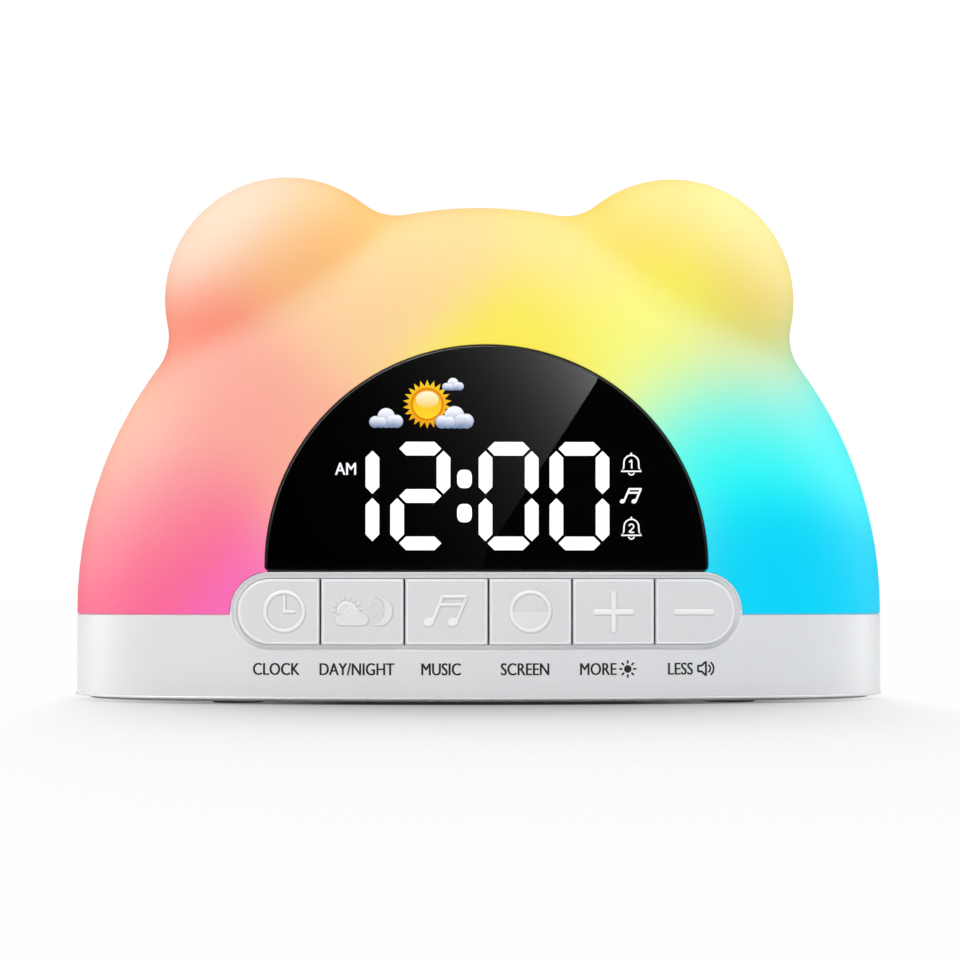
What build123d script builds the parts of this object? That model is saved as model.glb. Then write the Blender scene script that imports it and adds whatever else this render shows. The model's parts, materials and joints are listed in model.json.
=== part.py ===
from build123d import *
import math
import os

# Sunrise alarm clock: a lamp dome with two ears on a low base, in millimetres.
# X runs to the right, the front faces -Y, Z is up from the surface the feet stand on.

# Overall form
BODY_WIDTH = 160.0
BODY_DEPTH = 76.0
EDGE_RADIUS = 30.0
BASE_HEIGHT = 16.1
EAR_RADIUS = 24.5
EAR_SPREAD = 76.8
EAR_SINK = 7.55
EAR_BLEND = 10.5
HEAD_LIFT = 0.9

# Walls and small edges
DOME_WALL = 2.0
BASE_WALL = 2.2
SEAM_CHAMFER = 0.4
RIM_LIP = 0.2
RIM_LIP_HEIGHT = 0.45
RIM_LIP_CHAMFER = 0.15
DECK_THICKNESS = 2.0
LIP_HEIGHT = 1.6
LIP_WALL = 1.2

# Clearances
FIT = 0.15
SLIDE = 0.35
KEY_SLIDE = 0.1
KEY_GAP = 0.3
KEY_REST_GAP = 0.2
DOME_CONTACT = 0.05

# Underside
FOOT_STANDOFF = 0.5
FOOT_RECESS = 0.6
FOOT_RADIUS = 5.0
FOOT_SPREAD_X = 95.0
FOOT_SPREAD_Y = 40.0
COVER_DROP = 0.5
COVER_THICKNESS = 2.2
GRILLE_RADIUS = 13.0
GRILLE_SLOT = 1.8
GRILLE_PITCH = 3.6

# Key tray and keys
KEY_COUNT = 6
KEY_PITCH = 15.8
KEY_HEIGHT = 12.4
KEY_PROUD = 0.6
KEY_EDGE = 0.45
KEY_SHELL = 1.5
KEY_POST = 3.6
KEY_LIP = 0.9
KEY_FLANGE = 1.2
TRAY_FLOOR = 0.75
TRAY_BEVEL = 0.35
TRAY_DEPTH = 0.45
TRAY_LAND = 0.1
TRAY_LIFT = 0.4
COLLAR_WALL = 1.0

# Key switch stack
MAT_THICKNESS = 1.0
MAT_MARGIN = 1.4
MAT_DOME_HEIGHT = 1.9
MAT_DOME_RADIUS = 4.0
MAT_DOME_TOP = 2.6
MAT_DOME_WALL = 0.6
PILL_RADIUS = 1.5
PILL_THICKNESS = 0.4
BOARD_THICKNESS = 1.6
BUTTON_BOARD_HEIGHT = 14.8
BUTTON_SCREW_REACH = 4.4

# Display
LENS_RADIUS = 42.1
LENS_STRAIGHT = 1.2
LENS_CORNER = 1.0
LENS_GAP = 0.15
LENS_BEVEL = 0.35
TAPE_THICKNESS = 0.2
TAPE_WIDTH = 1.2
SHROUD_WALL = 1.6
SHROUD_INSET = 0.4
SHROUD_FLANGE = 2.5
REFLECTOR_GAP = 0.3
REFLECTOR_DEPTH = 4.2
DIFFUSER_DEPTH = 1.5
LEG_SPREAD = 56.0
LEG_WIDTH = 9.0
LEG_FOOT = 8.0

# Figures behind the lens
FIGURE_WIDTH = 11.4
FIGURE_HEIGHT = 20.6
FIGURE_PITCH = 13.5
SEGMENT_WIDTH = 2.6
SEGMENT_GAP = 0.4
COLON_X = -4.2
COLON_REACH = 8.4
COLON_WIDTH = 2.8
COLON_HEIGHT = 3.5
COLON_CORNER = 1.25
COLON_SPREAD = 6.5
FIGURE_RISE = 14.3
WEATHER_WIDTH = 21.0
WEATHER_HEIGHT = 9.4
WEATHER_CORNER = 4.5
WEATHER_X = -11.6
WEATHER_RISE = 30.75
SIDE_WINDOW = 4.8
SIDE_WINDOW_X = 27.6
SIDE_WINDOW_PITCH = 6.1
HALF_DAY_WINDOW_X = -26.8
HALF_DAY_WINDOW_RISE = 19.45
HALF_DAY_WINDOW_WIDTH = 4.8
HALF_DAY_WINDOW_HEIGHT = 3.4

# Boards, lamp and sound
LED_SIZE = 1.6
LED_HEIGHT = 0.7
LAMP_LED_SIZE = 5.0
LAMP_LED_HEIGHT = 1.6
LAMP_LED_PITCH_X = 20.0
LAMP_LED_PITCH_Y = 11.0
LAMP_BOARD_WIDTH = 100.0
LAMP_BOARD_DEPTH = 26.0
LAMP_BOARD_Y = 5.0
STANDOFF_HEIGHT = 2.0
MAIN_BOARD_WIDTH = 54.0
MAIN_BOARD_DEPTH = 38.0
MAIN_BOARD_X = 19.0
MAIN_BOARD_Y = 11.0
MAIN_BOARD_DROP = 4.5
SCREW_INSET = 3.0
PROCESSOR_SIZE = 9.0
CHIP_SIZE = 5.6
CHIP_HEIGHT = 1.5
CAN_RADIUS = 2.2
CAN_HEIGHT = 3.6
CELL_RADIUS = 10.0
CELL_THICKNESS = 3.2
HOLDER_WALL = 1.2
HOLDER_FLOOR = 0.4
CELL_X = 31.0
CELL_Y = 6.0
USB_X = 20.0
USB_RECESS = 0.5
USB_WIDTH = 8.94
USB_HEIGHT = 3.26
USB_LENGTH = 7.6
USB_WALL = 0.3
USB_CORNER = 1.28
TONGUE_WIDTH = 6.7
TONGUE_THICKNESS = 0.7
TONGUE_LENGTH = 5.0
SPEAKER_X = -32.0
SPEAKER_Y = 8.0
SPEAKER_RADIUS = 18.0
SPEAKER_FLANGE = 3.0
SPEAKER_SHEET = 0.8
BASKET_RADIUS = 10.0
BASKET_DEPTH = 5.5
CONE_DEPTH = 3.2
CONE_SHEET = 0.5
MAGNET_RADIUS = 8.5
MAGNET_HEIGHT = 3.2
GASKET_THICKNESS = 0.8
SPEAKER_RIB = 1.4
SPEAKER_RIB_HEIGHT = 2.6

# Screws and bosses
SCREW_RADIUS = 1.2
SCREW_HEAD_RADIUS = 2.3
SCREW_HEAD_HEIGHT = 1.4
SCREW_GRIP = 3.4
BOSS_RADIUS = 2.8
COVER_SCREW_END_GAP = 22.0
COVER_SCREW_SPREAD_Y = 32.0
DOME_SCREW_END_GAP = 14.0
DOME_SCREW_BACK_X = 36.0
DOME_SCREW_BACK_Y = 24.0
DOME_POST_HEIGHT = 12.0
WEB_THICKNESS = 1.6

# Ribbons
RIBBON_THICKNESS = 0.4
RIBBON_WIDTH = 10.0
RIBBON_SLOT_DEPTH = 2.4
DISPLAY_RIBBON_X = 8.0
BUTTON_RIBBON_X = 26.0
LAMP_RIBBON_X = 0.0
RIBBON_LANDING = 7.0

# Heights and planes that follow from the sizes above
HALF_WIDTH = BODY_WIDTH / 2
HALF_DEPTH = BODY_DEPTH / 2
EAR_RISE = math.sqrt((HALF_WIDTH - EAR_SINK) ** 2 - (EAR_SPREAD / 2) ** 2)
EDGE_CENTRE = HALF_WIDTH - EDGE_RADIUS
FRONT_RADIUS = (EDGE_CENTRE**2 + HALF_DEPTH**2 - EDGE_RADIUS**2) / (2 * (HALF_DEPTH - EDGE_RADIUS))
FRONT_CENTRE_Y = FRONT_RADIUS - HALF_DEPTH
COVER_Z = FOOT_STANDOFF
COVER_TOP_Z = COVER_Z + COVER_THICKNESS
RIM_Z = COVER_Z + COVER_DROP
SEAM_Z = RIM_Z + BASE_HEIGHT
HEAD_Z = SEAM_Z + HEAD_LIFT
DECK_Z = SEAM_Z - DECK_THICKNESS
CUT_REACH = BODY_WIDTH

KEY_ROW_WIDTH = KEY_COUNT * KEY_PITCH
WINDOW_WIDTH = KEY_ROW_WIDTH + 2 * KEY_SLIDE
FLOOR_MARGIN = KEY_SLIDE + TRAY_FLOOR
TAB_MARGIN = FLOOR_MARGIN + TRAY_BEVEL + TRAY_LAND
TAB_HEIGHT = KEY_HEIGHT + 2 * TAB_MARGIN
KEY_Z = SEAM_Z + TRAY_LIFT
TAB_TOP_Z = KEY_Z + TAB_HEIGHT / 2

LENS_BOTTOM_Z = TAB_TOP_Z + LENS_GAP
LENS_CENTRE_Z = LENS_BOTTOM_Z + LENS_STRAIGHT
FIGURE_Z = LENS_BOTTOM_Z + FIGURE_RISE
WEATHER_Z = LENS_BOTTOM_Z + WEATHER_RISE
SHROUD_ROOM = -SHROUD_INSET - SHROUD_WALL
SHROUD_TOP_Z = LENS_CENTRE_Z + LENS_RADIUS + SHROUD_ROOM

LAMP_BOARD_Z = SEAM_Z + STANDOFF_HEIGHT
LAMP_BOARD_TOP_Z = LAMP_BOARD_Z + BOARD_THICKNESS
MAIN_BOARD_TOP_Z = DECK_Z - MAIN_BOARD_DROP
MAIN_BOARD_Z = MAIN_BOARD_TOP_Z - BOARD_THICKNESS
USB_Z = MAIN_BOARD_TOP_Z + USB_HEIGHT / 2
COVER_SCREW_SPREAD_X = BODY_WIDTH - 2 * COVER_SCREW_END_GAP
DOME_SCREW_SIDE_X = HALF_WIDTH - DOME_SCREW_END_GAP


def front_y(x, z=None, offset=0.0):
    """Front surface of the dome at (x, z), grown outwards by offset."""
    rise = 0.0 if z is None else z - HEAD_Z
    return FRONT_CENTRE_Y - math.sqrt((FRONT_RADIUS + offset) ** 2 - x**2 - rise**2)


COLLAR_BACK_Y = front_y(WINDOW_WIDTH / 2 + COLLAR_WALL) + BASE_WALL + SLIDE
KEY_FLANGE_Y = COLLAR_BACK_Y + KEY_REST_GAP
KEY_BACK_Y = KEY_FLANGE_Y + KEY_FLANGE
MAT_Y = KEY_BACK_Y + DOME_CONTACT + MAT_DOME_HEIGHT
BUTTON_BOARD_Y = MAT_Y + MAT_THICKNESS
BUTTON_BOARD_BACK_Y = BUTTON_BOARD_Y + BOARD_THICKNESS
BUTTON_SCREW_X = WINDOW_WIDTH / 2 + BUTTON_SCREW_REACH
BUTTON_SCREW_Z = DECK_Z - BOSS_RADIUS
BUTTON_BOARD_WIDTH = 2 * (BUTTON_SCREW_X + SCREW_INSET)
NOTCH_WIDTH = BUTTON_BOARD_WIDTH + 2 * SCREW_INSET
NOTCH_Y = BUTTON_BOARD_BACK_Y + SCREW_HEAD_HEIGHT + FIT

REFLECTOR_Y = front_y(0.0, SHROUD_TOP_Z, -DOME_WALL) + REFLECTOR_GAP
DISPLAY_BOARD_Y = REFLECTOR_Y + REFLECTOR_DEPTH
SHROUD_FLOOR_Y = DISPLAY_BOARD_Y + BOARD_THICKNESS
DISPLAY_BACK_Y = SHROUD_FLOOR_Y + SHROUD_WALL

SPEAKER_Z = COVER_TOP_Z + GASKET_THICKNESS
USB_MOUTH_Y = -front_y(USB_X) - USB_RECESS


# Shared outlines and helpers


def oval_tangent(offset):
    """Point where the front arc runs into the end arc, in plan."""
    share = (FRONT_RADIUS + offset) / (FRONT_RADIUS - EDGE_RADIUS)
    return EDGE_CENTRE * share, FRONT_CENTRE_Y * (1 - share)


def plan_oval(offset):
    """Plan outline of the body: two wide arcs and two end arcs."""
    x, y = oval_tangent(offset)
    front = ThreePointArc((-x, y), (0, -HALF_DEPTH - offset), (x, y))
    right = ThreePointArc((x, y), (HALF_WIDTH + offset, 0), (x, -y))
    back = ThreePointArc((x, -y), (0, HALF_DEPTH + offset), (-x, -y))
    left = ThreePointArc((-x, -y), (-HALF_WIDTH - offset, 0), (-x, y))
    return make_face([front, right, back, left])


def plan_prism(sketch, bottom, top):
    """Upright solid on a plan outline."""
    return extrude(Pos(0, 0, bottom) * sketch, top - bottom, dir=(0, 0, 1))


def front_prism(sketch, y_front, y_back):
    """Solid on an outline seen from the front (X right, Z up), between two Y planes."""
    plane = Plane(origin=(0, y_back, 0), x_dir=(1, 0, 0), z_dir=(0, -1, 0))
    return extrude(plane * sketch, y_back - y_front, dir=(0, -1, 0))


def front_ball(offset):
    """Ball that carries the dome's front surface, grown by offset."""
    return Pos(0, FRONT_CENTRE_Y, HEAD_Z) * Rot(0, 0, 90) * Sphere(FRONT_RADIUS + offset)


def front_plate(sketch, outer, inner):
    """Piece of the front surface on an outline, between two offsets of that surface."""
    blank = front_prism(sketch, -CUT_REACH, 0) & front_ball(outer)
    return blank - front_ball(inner)


def disc(x, y, radius, bottom, top):
    """Upright cylinder."""
    return plan_prism(Pos(x, y) * Circle(radius), bottom, top)


def block(x, y, width, depth, bottom, top):
    """Upright block on a centre point."""
    return plan_prism(Pos(x, y) * Rectangle(width, depth), bottom, top)


def corners(spread_x, spread_y, x=0.0, y=0.0):
    """Four points at the corners of a rectangle."""
    return [(x + i * spread_x / 2, y + j * spread_y / 2) for i in (-1, 1) for j in (-1, 1)]


def screw(grip):
    """Pan-head screw standing on its tip, with the head's seat at the origin."""
    shank = Pos(0, 0, grip / 2) * Cylinder(SCREW_RADIUS, grip)
    head = Pos(0, 0, -SCREW_HEAD_HEIGHT / 2) * Cylinder(SCREW_HEAD_RADIUS, SCREW_HEAD_HEIGHT)
    head = chamfer(head.edges().group_by(Axis.Z)[0], SCREW_HEAD_HEIGHT / 3)
    return shank + head


def pill_outline(margin):
    """Outline of the key row, grown by margin."""
    height = KEY_HEIGHT + 2 * margin
    return Pos(0, KEY_Z) * SlotOverall(KEY_ROW_WIDTH + 2 * margin, height)


def lens_outline(margin):
    """Half-round outline of the lens, grown by margin."""
    radius = LENS_RADIUS + margin
    bottom = -LENS_STRAIGHT - margin
    arch = Pos(0, -radius) * Rot(0, 0, 90) * SlotOverall(4 * radius, 2 * radius)
    face = arch & Pos(0, (radius + bottom) / 2) * Rectangle(2 * radius, radius - bottom)
    corner = LENS_CORNER + margin
    if corner > 0:
        face = fillet(face.vertices().group_by(Axis.Y)[0], corner)
    return Pos(0, LENS_CENTRE_Z) * face


# Dome


def head_form(offset):
    """Half-round head turned about the front-to-back axis, with two ears blended in, on a low collar."""
    x, y = oval_tangent(offset)
    middle = math.asin(x / (FRONT_RADIUS + offset)) / 2
    middle_x = (FRONT_RADIUS + offset) * math.sin(middle)
    middle_y = FRONT_CENTRE_Y - (FRONT_RADIUS + offset) * math.cos(middle)
    depth = HALF_DEPTH + offset
    front = ThreePointArc((0, -depth), (middle_x, middle_y), (x, y))
    edge = ThreePointArc((x, y), (HALF_WIDTH + offset, 0), (x, -y))
    back = ThreePointArc((x, -y), (middle_x, -middle_y), (0, depth))
    axis = Line((0, depth), (0, -depth))
    head = revolve(make_face([front, edge, back, axis]), Axis((0, 0, 0), (0, -1, 0)), 180)
    lean = math.degrees(math.atan2(EAR_RISE, EAR_SPREAD / 2))
    centres = [Vector(side * EAR_SPREAD / 2, 0, EAR_RISE) for side in (-1, 1)]
    turns = (lean, 180 - lean)
    for centre, turn in zip(centres, turns):
        head += Pos(*centre) * Rot(0, turn, 0) * Sphere(EAR_RADIUS + offset)
    creases = [edge for edge in head.edges() if on_ear(edge, centres, EAR_RADIUS + offset)]
    head = Pos(0, 0, HEAD_Z) * fillet(creases, EAR_BLEND - offset)
    return head + plan_prism(plan_oval(offset), SEAM_Z, HEAD_Z)


def on_ear(edge, centres, radius):
    """Whether an edge lies on the surface of one ear."""
    steps = (0.1, 0.4, 0.7)
    return any(all(abs((edge @ t - centre).length - radius) < FIT for t in steps) for centre in centres)


def dome_screw_points():
    """Screw posts of the dome: one at each end and two at the back."""
    ends = [(side * DOME_SCREW_SIDE_X, 0.0) for side in (-1, 1)]
    return ends + [(side * DOME_SCREW_BACK_X, DOME_SCREW_BACK_Y) for side in (-1, 1)]


def dome_posts():
    """Screw posts with a web out to the wall."""
    top = SEAM_Z + DOME_POST_HEIGHT
    posts = Part()
    for x, y in dome_screw_points():
        posts += disc(x, y, BOSS_RADIUS, SEAM_Z, top)
        if y == 0.0:
            reach = math.copysign(HALF_WIDTH, x)
            posts += block((x + reach) / 2, 0, abs(reach - x), WEB_THICKNESS, SEAM_Z, top)
        else:
            posts += block(x, (y + HALF_DEPTH) / 2, WEB_THICKNESS, HALF_DEPTH - y, SEAM_Z, top)
    return posts


def light_dome():
    """Lamp shade: even wall, lens window, cut-out for the key tray and screw posts."""
    shell = head_form(0.0) - head_form(-DOME_WALL)
    shell += dome_posts() & head_form(-DOME_WALL / 2)
    shell -= front_prism(lens_outline(FIT), -CUT_REACH, 0)
    shell -= front_prism(pill_outline(TAB_MARGIN + FIT), -CUT_REACH, DISPLAY_BACK_Y)
    for x, y in dome_screw_points():
        shell -= disc(x, y, SCREW_RADIUS, SEAM_Z, SEAM_Z + SCREW_GRIP + DECK_THICKNESS)
    return shell


# Base


def base_wall():
    """Oval wall with a fine lip round its foot and a fine chamfer at the seam."""
    wall = plan_prism(plan_oval(0.0), RIM_Z, SEAM_Z)
    wall = chamfer(wall.edges().group_by(Axis.Z)[-1], SEAM_CHAMFER)
    lip = plan_prism(plan_oval(RIM_LIP), RIM_Z, RIM_Z + RIM_LIP_HEIGHT)
    lip = chamfer(lip.edges().group_by(Axis.Z)[0] + lip.edges().group_by(Axis.Z)[-1], RIM_LIP_CHAMFER)
    return wall + lip - plan_prism(plan_oval(-BASE_WALL), RIM_Z - COVER_DROP, SEAM_Z)


def key_tray():
    """Tray that the keys sit in: sunk floor with a bevelled rim, and the guide collar behind it."""
    tab = front_plate(pill_outline(2 * TAB_MARGIN), 0.0, -BASE_WALL)
    tab -= front_plate(pill_outline(FLOOR_MARGIN), BASE_WALL, -TRAY_DEPTH)
    tab = chamfer([edge for edge in tab.edges() if on_tray_rim(edge)], TRAY_BEVEL)
    tab &= front_prism(pill_outline(TAB_MARGIN), -CUT_REACH, 0)
    tab -= front_prism(pill_outline(KEY_SLIDE), -CUT_REACH, 0)
    collar = front_plate(pill_outline(KEY_SLIDE + COLLAR_WALL), -TRAY_DEPTH - SLIDE, -BODY_DEPTH)
    collar -= front_prism(pill_outline(KEY_SLIDE), -CUT_REACH, 0)
    collar &= front_prism(Pos(0, SEAM_Z) * Rectangle(BODY_WIDTH, BODY_DEPTH), -CUT_REACH, COLLAR_BACK_Y)
    return tab + collar


def on_tray_rim(edge):
    """Whether an edge is where the sunk floor opens through the front surface."""
    for t in (0.0, 0.5, 1.0):
        point = edge @ t
        across = max(abs(point.X) - (KEY_ROW_WIDTH - KEY_HEIGHT) / 2, 0.0)
        off_outline = math.hypot(across, point.Z - KEY_Z) - KEY_HEIGHT / 2 - FLOOR_MARGIN
        off_surface = point.Y - front_y(point.X, point.Z)
        if max(abs(off_outline), abs(off_surface)) > FIT / 2:
            return False
    return True


def deck():
    """Lamp deck that closes the base, notched for the key boards, with a locating lip."""
    plate = plan_prism(plan_oval(-BASE_WALL / 2), DECK_Z, SEAM_Z)
    lip = plan_oval(-DOME_WALL - FIT) - plan_oval(-DOME_WALL - FIT - LIP_WALL)
    plate += plan_prism(lip, SEAM_Z, SEAM_Z + LIP_HEIGHT)
    plate &= plan_prism(plan_oval(-BASE_WALL / 2), DECK_Z, SEAM_Z + LIP_HEIGHT)
    for x, y in lamp_screw_points():
        plate += disc(x, y, BOSS_RADIUS, SEAM_Z, LAMP_BOARD_Z)
    notch_depth = NOTCH_Y + HALF_DEPTH
    plate -= block(0, NOTCH_Y - notch_depth / 2, NOTCH_WIDTH, notch_depth, DECK_Z, SEAM_Z + LIP_HEIGHT)
    for x, y in dome_screw_points():
        plate -= disc(x, y, BOSS_RADIUS + FIT, SEAM_Z, SEAM_Z + LIP_HEIGHT)
        web = WEB_THICKNESS + 2 * FIT
        if y == 0.0:
            plate -= block(x, 0, BODY_DEPTH, web, SEAM_Z, SEAM_Z + LIP_HEIGHT)
        else:
            plate -= block(x, HALF_DEPTH, web, BODY_DEPTH - 2 * y, SEAM_Z, SEAM_Z + LIP_HEIGHT)
    return plate


def lamp_screw_points():
    """Standoffs under the lamp board."""
    return corners(LAMP_BOARD_WIDTH - 2 * SCREW_INSET, LAMP_BOARD_DEPTH - 2 * SCREW_INSET, 0, LAMP_BOARD_Y)


def main_screw_points():
    """Posts that hang the main board under the deck."""
    spread_x = MAIN_BOARD_WIDTH - 2 * SCREW_INSET
    spread_y = MAIN_BOARD_DEPTH - 2 * SCREW_INSET
    return corners(spread_x, spread_y, MAIN_BOARD_X, MAIN_BOARD_Y)


def cover_screw_points():
    """Bosses that the bottom cover is screwed to."""
    return corners(COVER_SCREW_SPREAD_X, COVER_SCREW_SPREAD_Y)


def button_screw_points():
    """Bosses behind the front wall for the key board, as (x, z)."""
    return [(side * BUTTON_SCREW_X, BUTTON_SCREW_Z) for side in (-1, 1)]


def leg_points():
    """Feet of the display housing on the deck."""
    y = DISPLAY_BACK_Y + LEG_FOOT / 2
    return [(side * LEG_SPREAD / 2, y) for side in (-1, 1)]


def base_housing():
    """White base: wall, key tray, lamp deck, bosses and the power inlet's opening."""
    base = base_wall() - front_prism(pill_outline(TAB_MARGIN), -CUT_REACH, 0)
    base += key_tray()
    base += deck()
    for x, y in main_screw_points():
        base += disc(x, y, BOSS_RADIUS, MAIN_BOARD_TOP_Z, DECK_Z)
    for x, y in cover_screw_points():
        base += disc(x, y, BOSS_RADIUS, COVER_TOP_Z, DECK_Z)
    for x, z in button_screw_points():
        boss = front_prism(Pos(x, z) * Circle(BOSS_RADIUS), -HALF_DEPTH, BUTTON_BOARD_Y)
        base += boss & plan_prism(plan_oval(-BASE_WALL / 2), RIM_Z, SEAM_Z)
    for x, y in main_screw_points():
        base -= disc(x, y, SCREW_RADIUS, MAIN_BOARD_TOP_Z, MAIN_BOARD_TOP_Z + SCREW_GRIP)
    for x, y in cover_screw_points():
        base -= disc(x, y, SCREW_RADIUS, COVER_TOP_Z, COVER_TOP_Z + SCREW_GRIP)
    for x, y in lamp_screw_points():
        base -= disc(x, y, SCREW_RADIUS, LAMP_BOARD_Z - SCREW_GRIP, LAMP_BOARD_Z)
    for x, y in dome_screw_points():
        base -= disc(x, y, SCREW_RADIUS + FIT, DECK_Z, SEAM_Z)
    for x, y in leg_points():
        base -= disc(x, y, SCREW_RADIUS, DECK_Z, SEAM_Z)
    for x, z in button_screw_points():
        base -= front_prism(Pos(x, z) * Circle(SCREW_RADIUS), BUTTON_BOARD_Y - SCREW_GRIP, BUTTON_BOARD_Y)
    for x, y in ribbon_slots():
        base -= block(x, y, RIBBON_WIDTH + 2 * SLIDE, RIBBON_SLOT_DEPTH, DECK_Z, SEAM_Z)
    inlet = RectangleRounded(USB_WIDTH + 2 * SLIDE, USB_HEIGHT + 2 * SLIDE, USB_CORNER + SLIDE)
    return base - front_prism(Pos(USB_X, USB_Z) * inlet, USB_MOUTH_Y - USB_LENGTH, CUT_REACH)


def bottom_cover():
    """Plinth plate with the speaker grille, screw seats, foot recesses and speaker rib."""
    cover = plan_prism(plan_oval(-BASE_WALL - FIT), COVER_Z, COVER_TOP_Z)
    cover = chamfer(cover.edges().group_by(Axis.Z)[0], SEAM_CHAMFER)
    rib_inner = SPEAKER_RADIUS + FIT
    rib_top = COVER_TOP_Z + SPEAKER_RIB_HEIGHT
    cover += disc(SPEAKER_X, SPEAKER_Y, rib_inner + SPEAKER_RIB, COVER_TOP_Z, rib_top)
    cover -= disc(SPEAKER_X, SPEAKER_Y, rib_inner, COVER_TOP_Z, rib_top)
    rows = int(GRILLE_RADIUS / GRILLE_PITCH)
    for row in range(-rows, rows + 1):
        y = row * GRILLE_PITCH
        length = 2 * math.sqrt(GRILLE_RADIUS**2 - y**2)
        slot = Pos(SPEAKER_X, SPEAKER_Y + y) * SlotOverall(length, GRILLE_SLOT)
        cover -= plan_prism(slot, COVER_Z, COVER_TOP_Z)
    for x, y in cover_screw_points():
        cover -= disc(x, y, SCREW_RADIUS + FIT, COVER_Z, COVER_TOP_Z)
        cover -= disc(x, y, SCREW_HEAD_RADIUS + SLIDE, COVER_Z, COVER_Z + SCREW_HEAD_HEIGHT)
    for x, y in corners(FOOT_SPREAD_X, FOOT_SPREAD_Y):
        cover -= disc(x, y, FOOT_RADIUS + FIT, COVER_Z, COVER_Z + FOOT_RECESS)
    return cover


def rubber_feet():
    """Four round feet set into the cover."""
    feet = []
    for x, y in corners(FOOT_SPREAD_X, FOOT_SPREAD_Y):
        foot = disc(x, y, FOOT_RADIUS, COVER_Z - FOOT_STANDOFF, COVER_Z + FOOT_RECESS)
        feet.append(chamfer(foot.edges().group_by(Axis.Z)[0], FOOT_STANDOFF / 2))
    return feet


# Keys and their switch stack


def key_span(index):
    """Left and right side of one key; the end keys run on to the round ends."""
    left = index * KEY_PITCH - KEY_ROW_WIDTH / 2
    right = left + KEY_PITCH
    first = left - KEY_ROW_WIDTH if index == 0 else left + KEY_GAP / 2
    last = right + KEY_ROW_WIDTH if index == KEY_COUNT - 1 else right - KEY_GAP / 2
    return first, last


def key_outline(index, margin):
    """Outline of one key, grown by margin at the top, bottom and round ends only."""
    first, last = key_span(index)
    strip = Pos((first + last) / 2, KEY_Z) * Rectangle(last - first, BODY_DEPTH)
    return pill_outline(margin) & strip


def key_centre(index):
    """Middle of one key."""
    return (index - (KEY_COUNT - 1) / 2) * KEY_PITCH


def key_cap(index):
    """Key: crowned face, thin shell, post for the mat and lips that stop it at the collar."""
    cap = front_plate(key_outline(index, 0.0), KEY_PROUD, -BODY_DEPTH)
    cap &= front_prism(pill_outline(KEY_LIP), -CUT_REACH, KEY_BACK_Y)
    face = cap.faces().sort_by(Axis.Y)[0]
    cap = fillet(face.outer_wire().edges(), KEY_EDGE)
    cap += front_prism(key_outline(index, KEY_LIP), KEY_FLANGE_Y, KEY_BACK_Y)
    hollow = front_plate(offset(key_outline(index, 0.0), -KEY_SHELL), KEY_PROUD - KEY_SHELL, -BODY_DEPTH)
    hollow -= front_prism(Pos(key_centre(index), KEY_Z) * Circle(KEY_POST / 2), -CUT_REACH, 0)
    return cap - (hollow & front_prism(pill_outline(0.0), -CUT_REACH, KEY_BACK_Y))


def mat_dome(index):
    """Collapsible dome of the keypad, hollow behind, pointing at the key's post."""
    height = MAT_DOME_HEIGHT
    outer = Cone(MAT_DOME_RADIUS, MAT_DOME_TOP, height)
    room = Cone(MAT_DOME_RADIUS - MAT_DOME_WALL, MAT_DOME_TOP - MAT_DOME_WALL, height - MAT_DOME_WALL)
    place = Pos(key_centre(index), MAT_Y, KEY_Z) * Rot(90, 0, 0)
    return place * Pos(0, 0, height / 2) * outer, place * Pos(0, 0, (height - MAT_DOME_WALL) / 2) * room


def silicone_keypad():
    """One-piece switch mat with a dome behind every key."""
    height = KEY_HEIGHT + 2 * MAT_MARGIN - 2 * KEY_LIP
    sheet = Pos(0, KEY_Z) * RectangleRounded(KEY_ROW_WIDTH + 2 * MAT_MARGIN, height, MAT_MARGIN)
    mat = front_prism(sheet, MAT_Y, BUTTON_BOARD_Y)
    for index in range(KEY_COUNT):
        mat += mat_dome(index)[0]
    for index in range(KEY_COUNT):
        mat -= mat_dome(index)[1]
        well = Pos(key_centre(index), KEY_Z) * Circle(MAT_DOME_RADIUS - MAT_DOME_WALL)
        mat -= front_prism(well, MAT_Y, BUTTON_BOARD_Y)
    return mat


def carbon_pills():
    """Contact discs under the domes' tops."""
    front = MAT_Y - MAT_DOME_HEIGHT + MAT_DOME_WALL
    places = [Pos(key_centre(index), KEY_Z) for index in range(KEY_COUNT)]
    return [front_prism(place * Circle(PILL_RADIUS), front, front + PILL_THICKNESS) for place in places]


def button_board():
    """Upright circuit board behind the mat."""
    sheet = Pos(0, KEY_Z) * RectangleRounded(BUTTON_BOARD_WIDTH, BUTTON_BOARD_HEIGHT, MAT_MARGIN)
    board = front_prism(sheet, BUTTON_BOARD_Y, BUTTON_BOARD_BACK_Y)
    for x, z in button_screw_points():
        board -= front_prism(Pos(x, z) * Circle(SCREW_RADIUS + FIT), BUTTON_BOARD_Y, BUTTON_BOARD_BACK_Y)
    return board


def button_board_screws():
    """Two screws that hold the key board to the front wall."""
    grip = SCREW_GRIP + BOARD_THICKNESS
    return [Pos(x, BUTTON_BOARD_BACK_Y, z) * Rot(90, 0, 0) * screw(grip) for x, z in button_screw_points()]


# Display


def display_lens():
    """Smoked half-round lens, flush with the dome, with a bevelled front edge."""
    lens = front_plate(lens_outline(0.0), 0.0, -DOME_WALL)
    face = lens.faces().sort_by(Axis.Y)[0]
    return chamfer(face.outer_wire().edges(), LENS_BEVEL)


def lens_tape():
    """Adhesive frame between the lens and its housing."""
    ring = lens_outline(-SHROUD_INSET) - lens_outline(-SHROUD_INSET - TAPE_WIDTH)
    return front_plate(ring, -DOME_WALL, -DOME_WALL - TAPE_THICKNESS)


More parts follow.
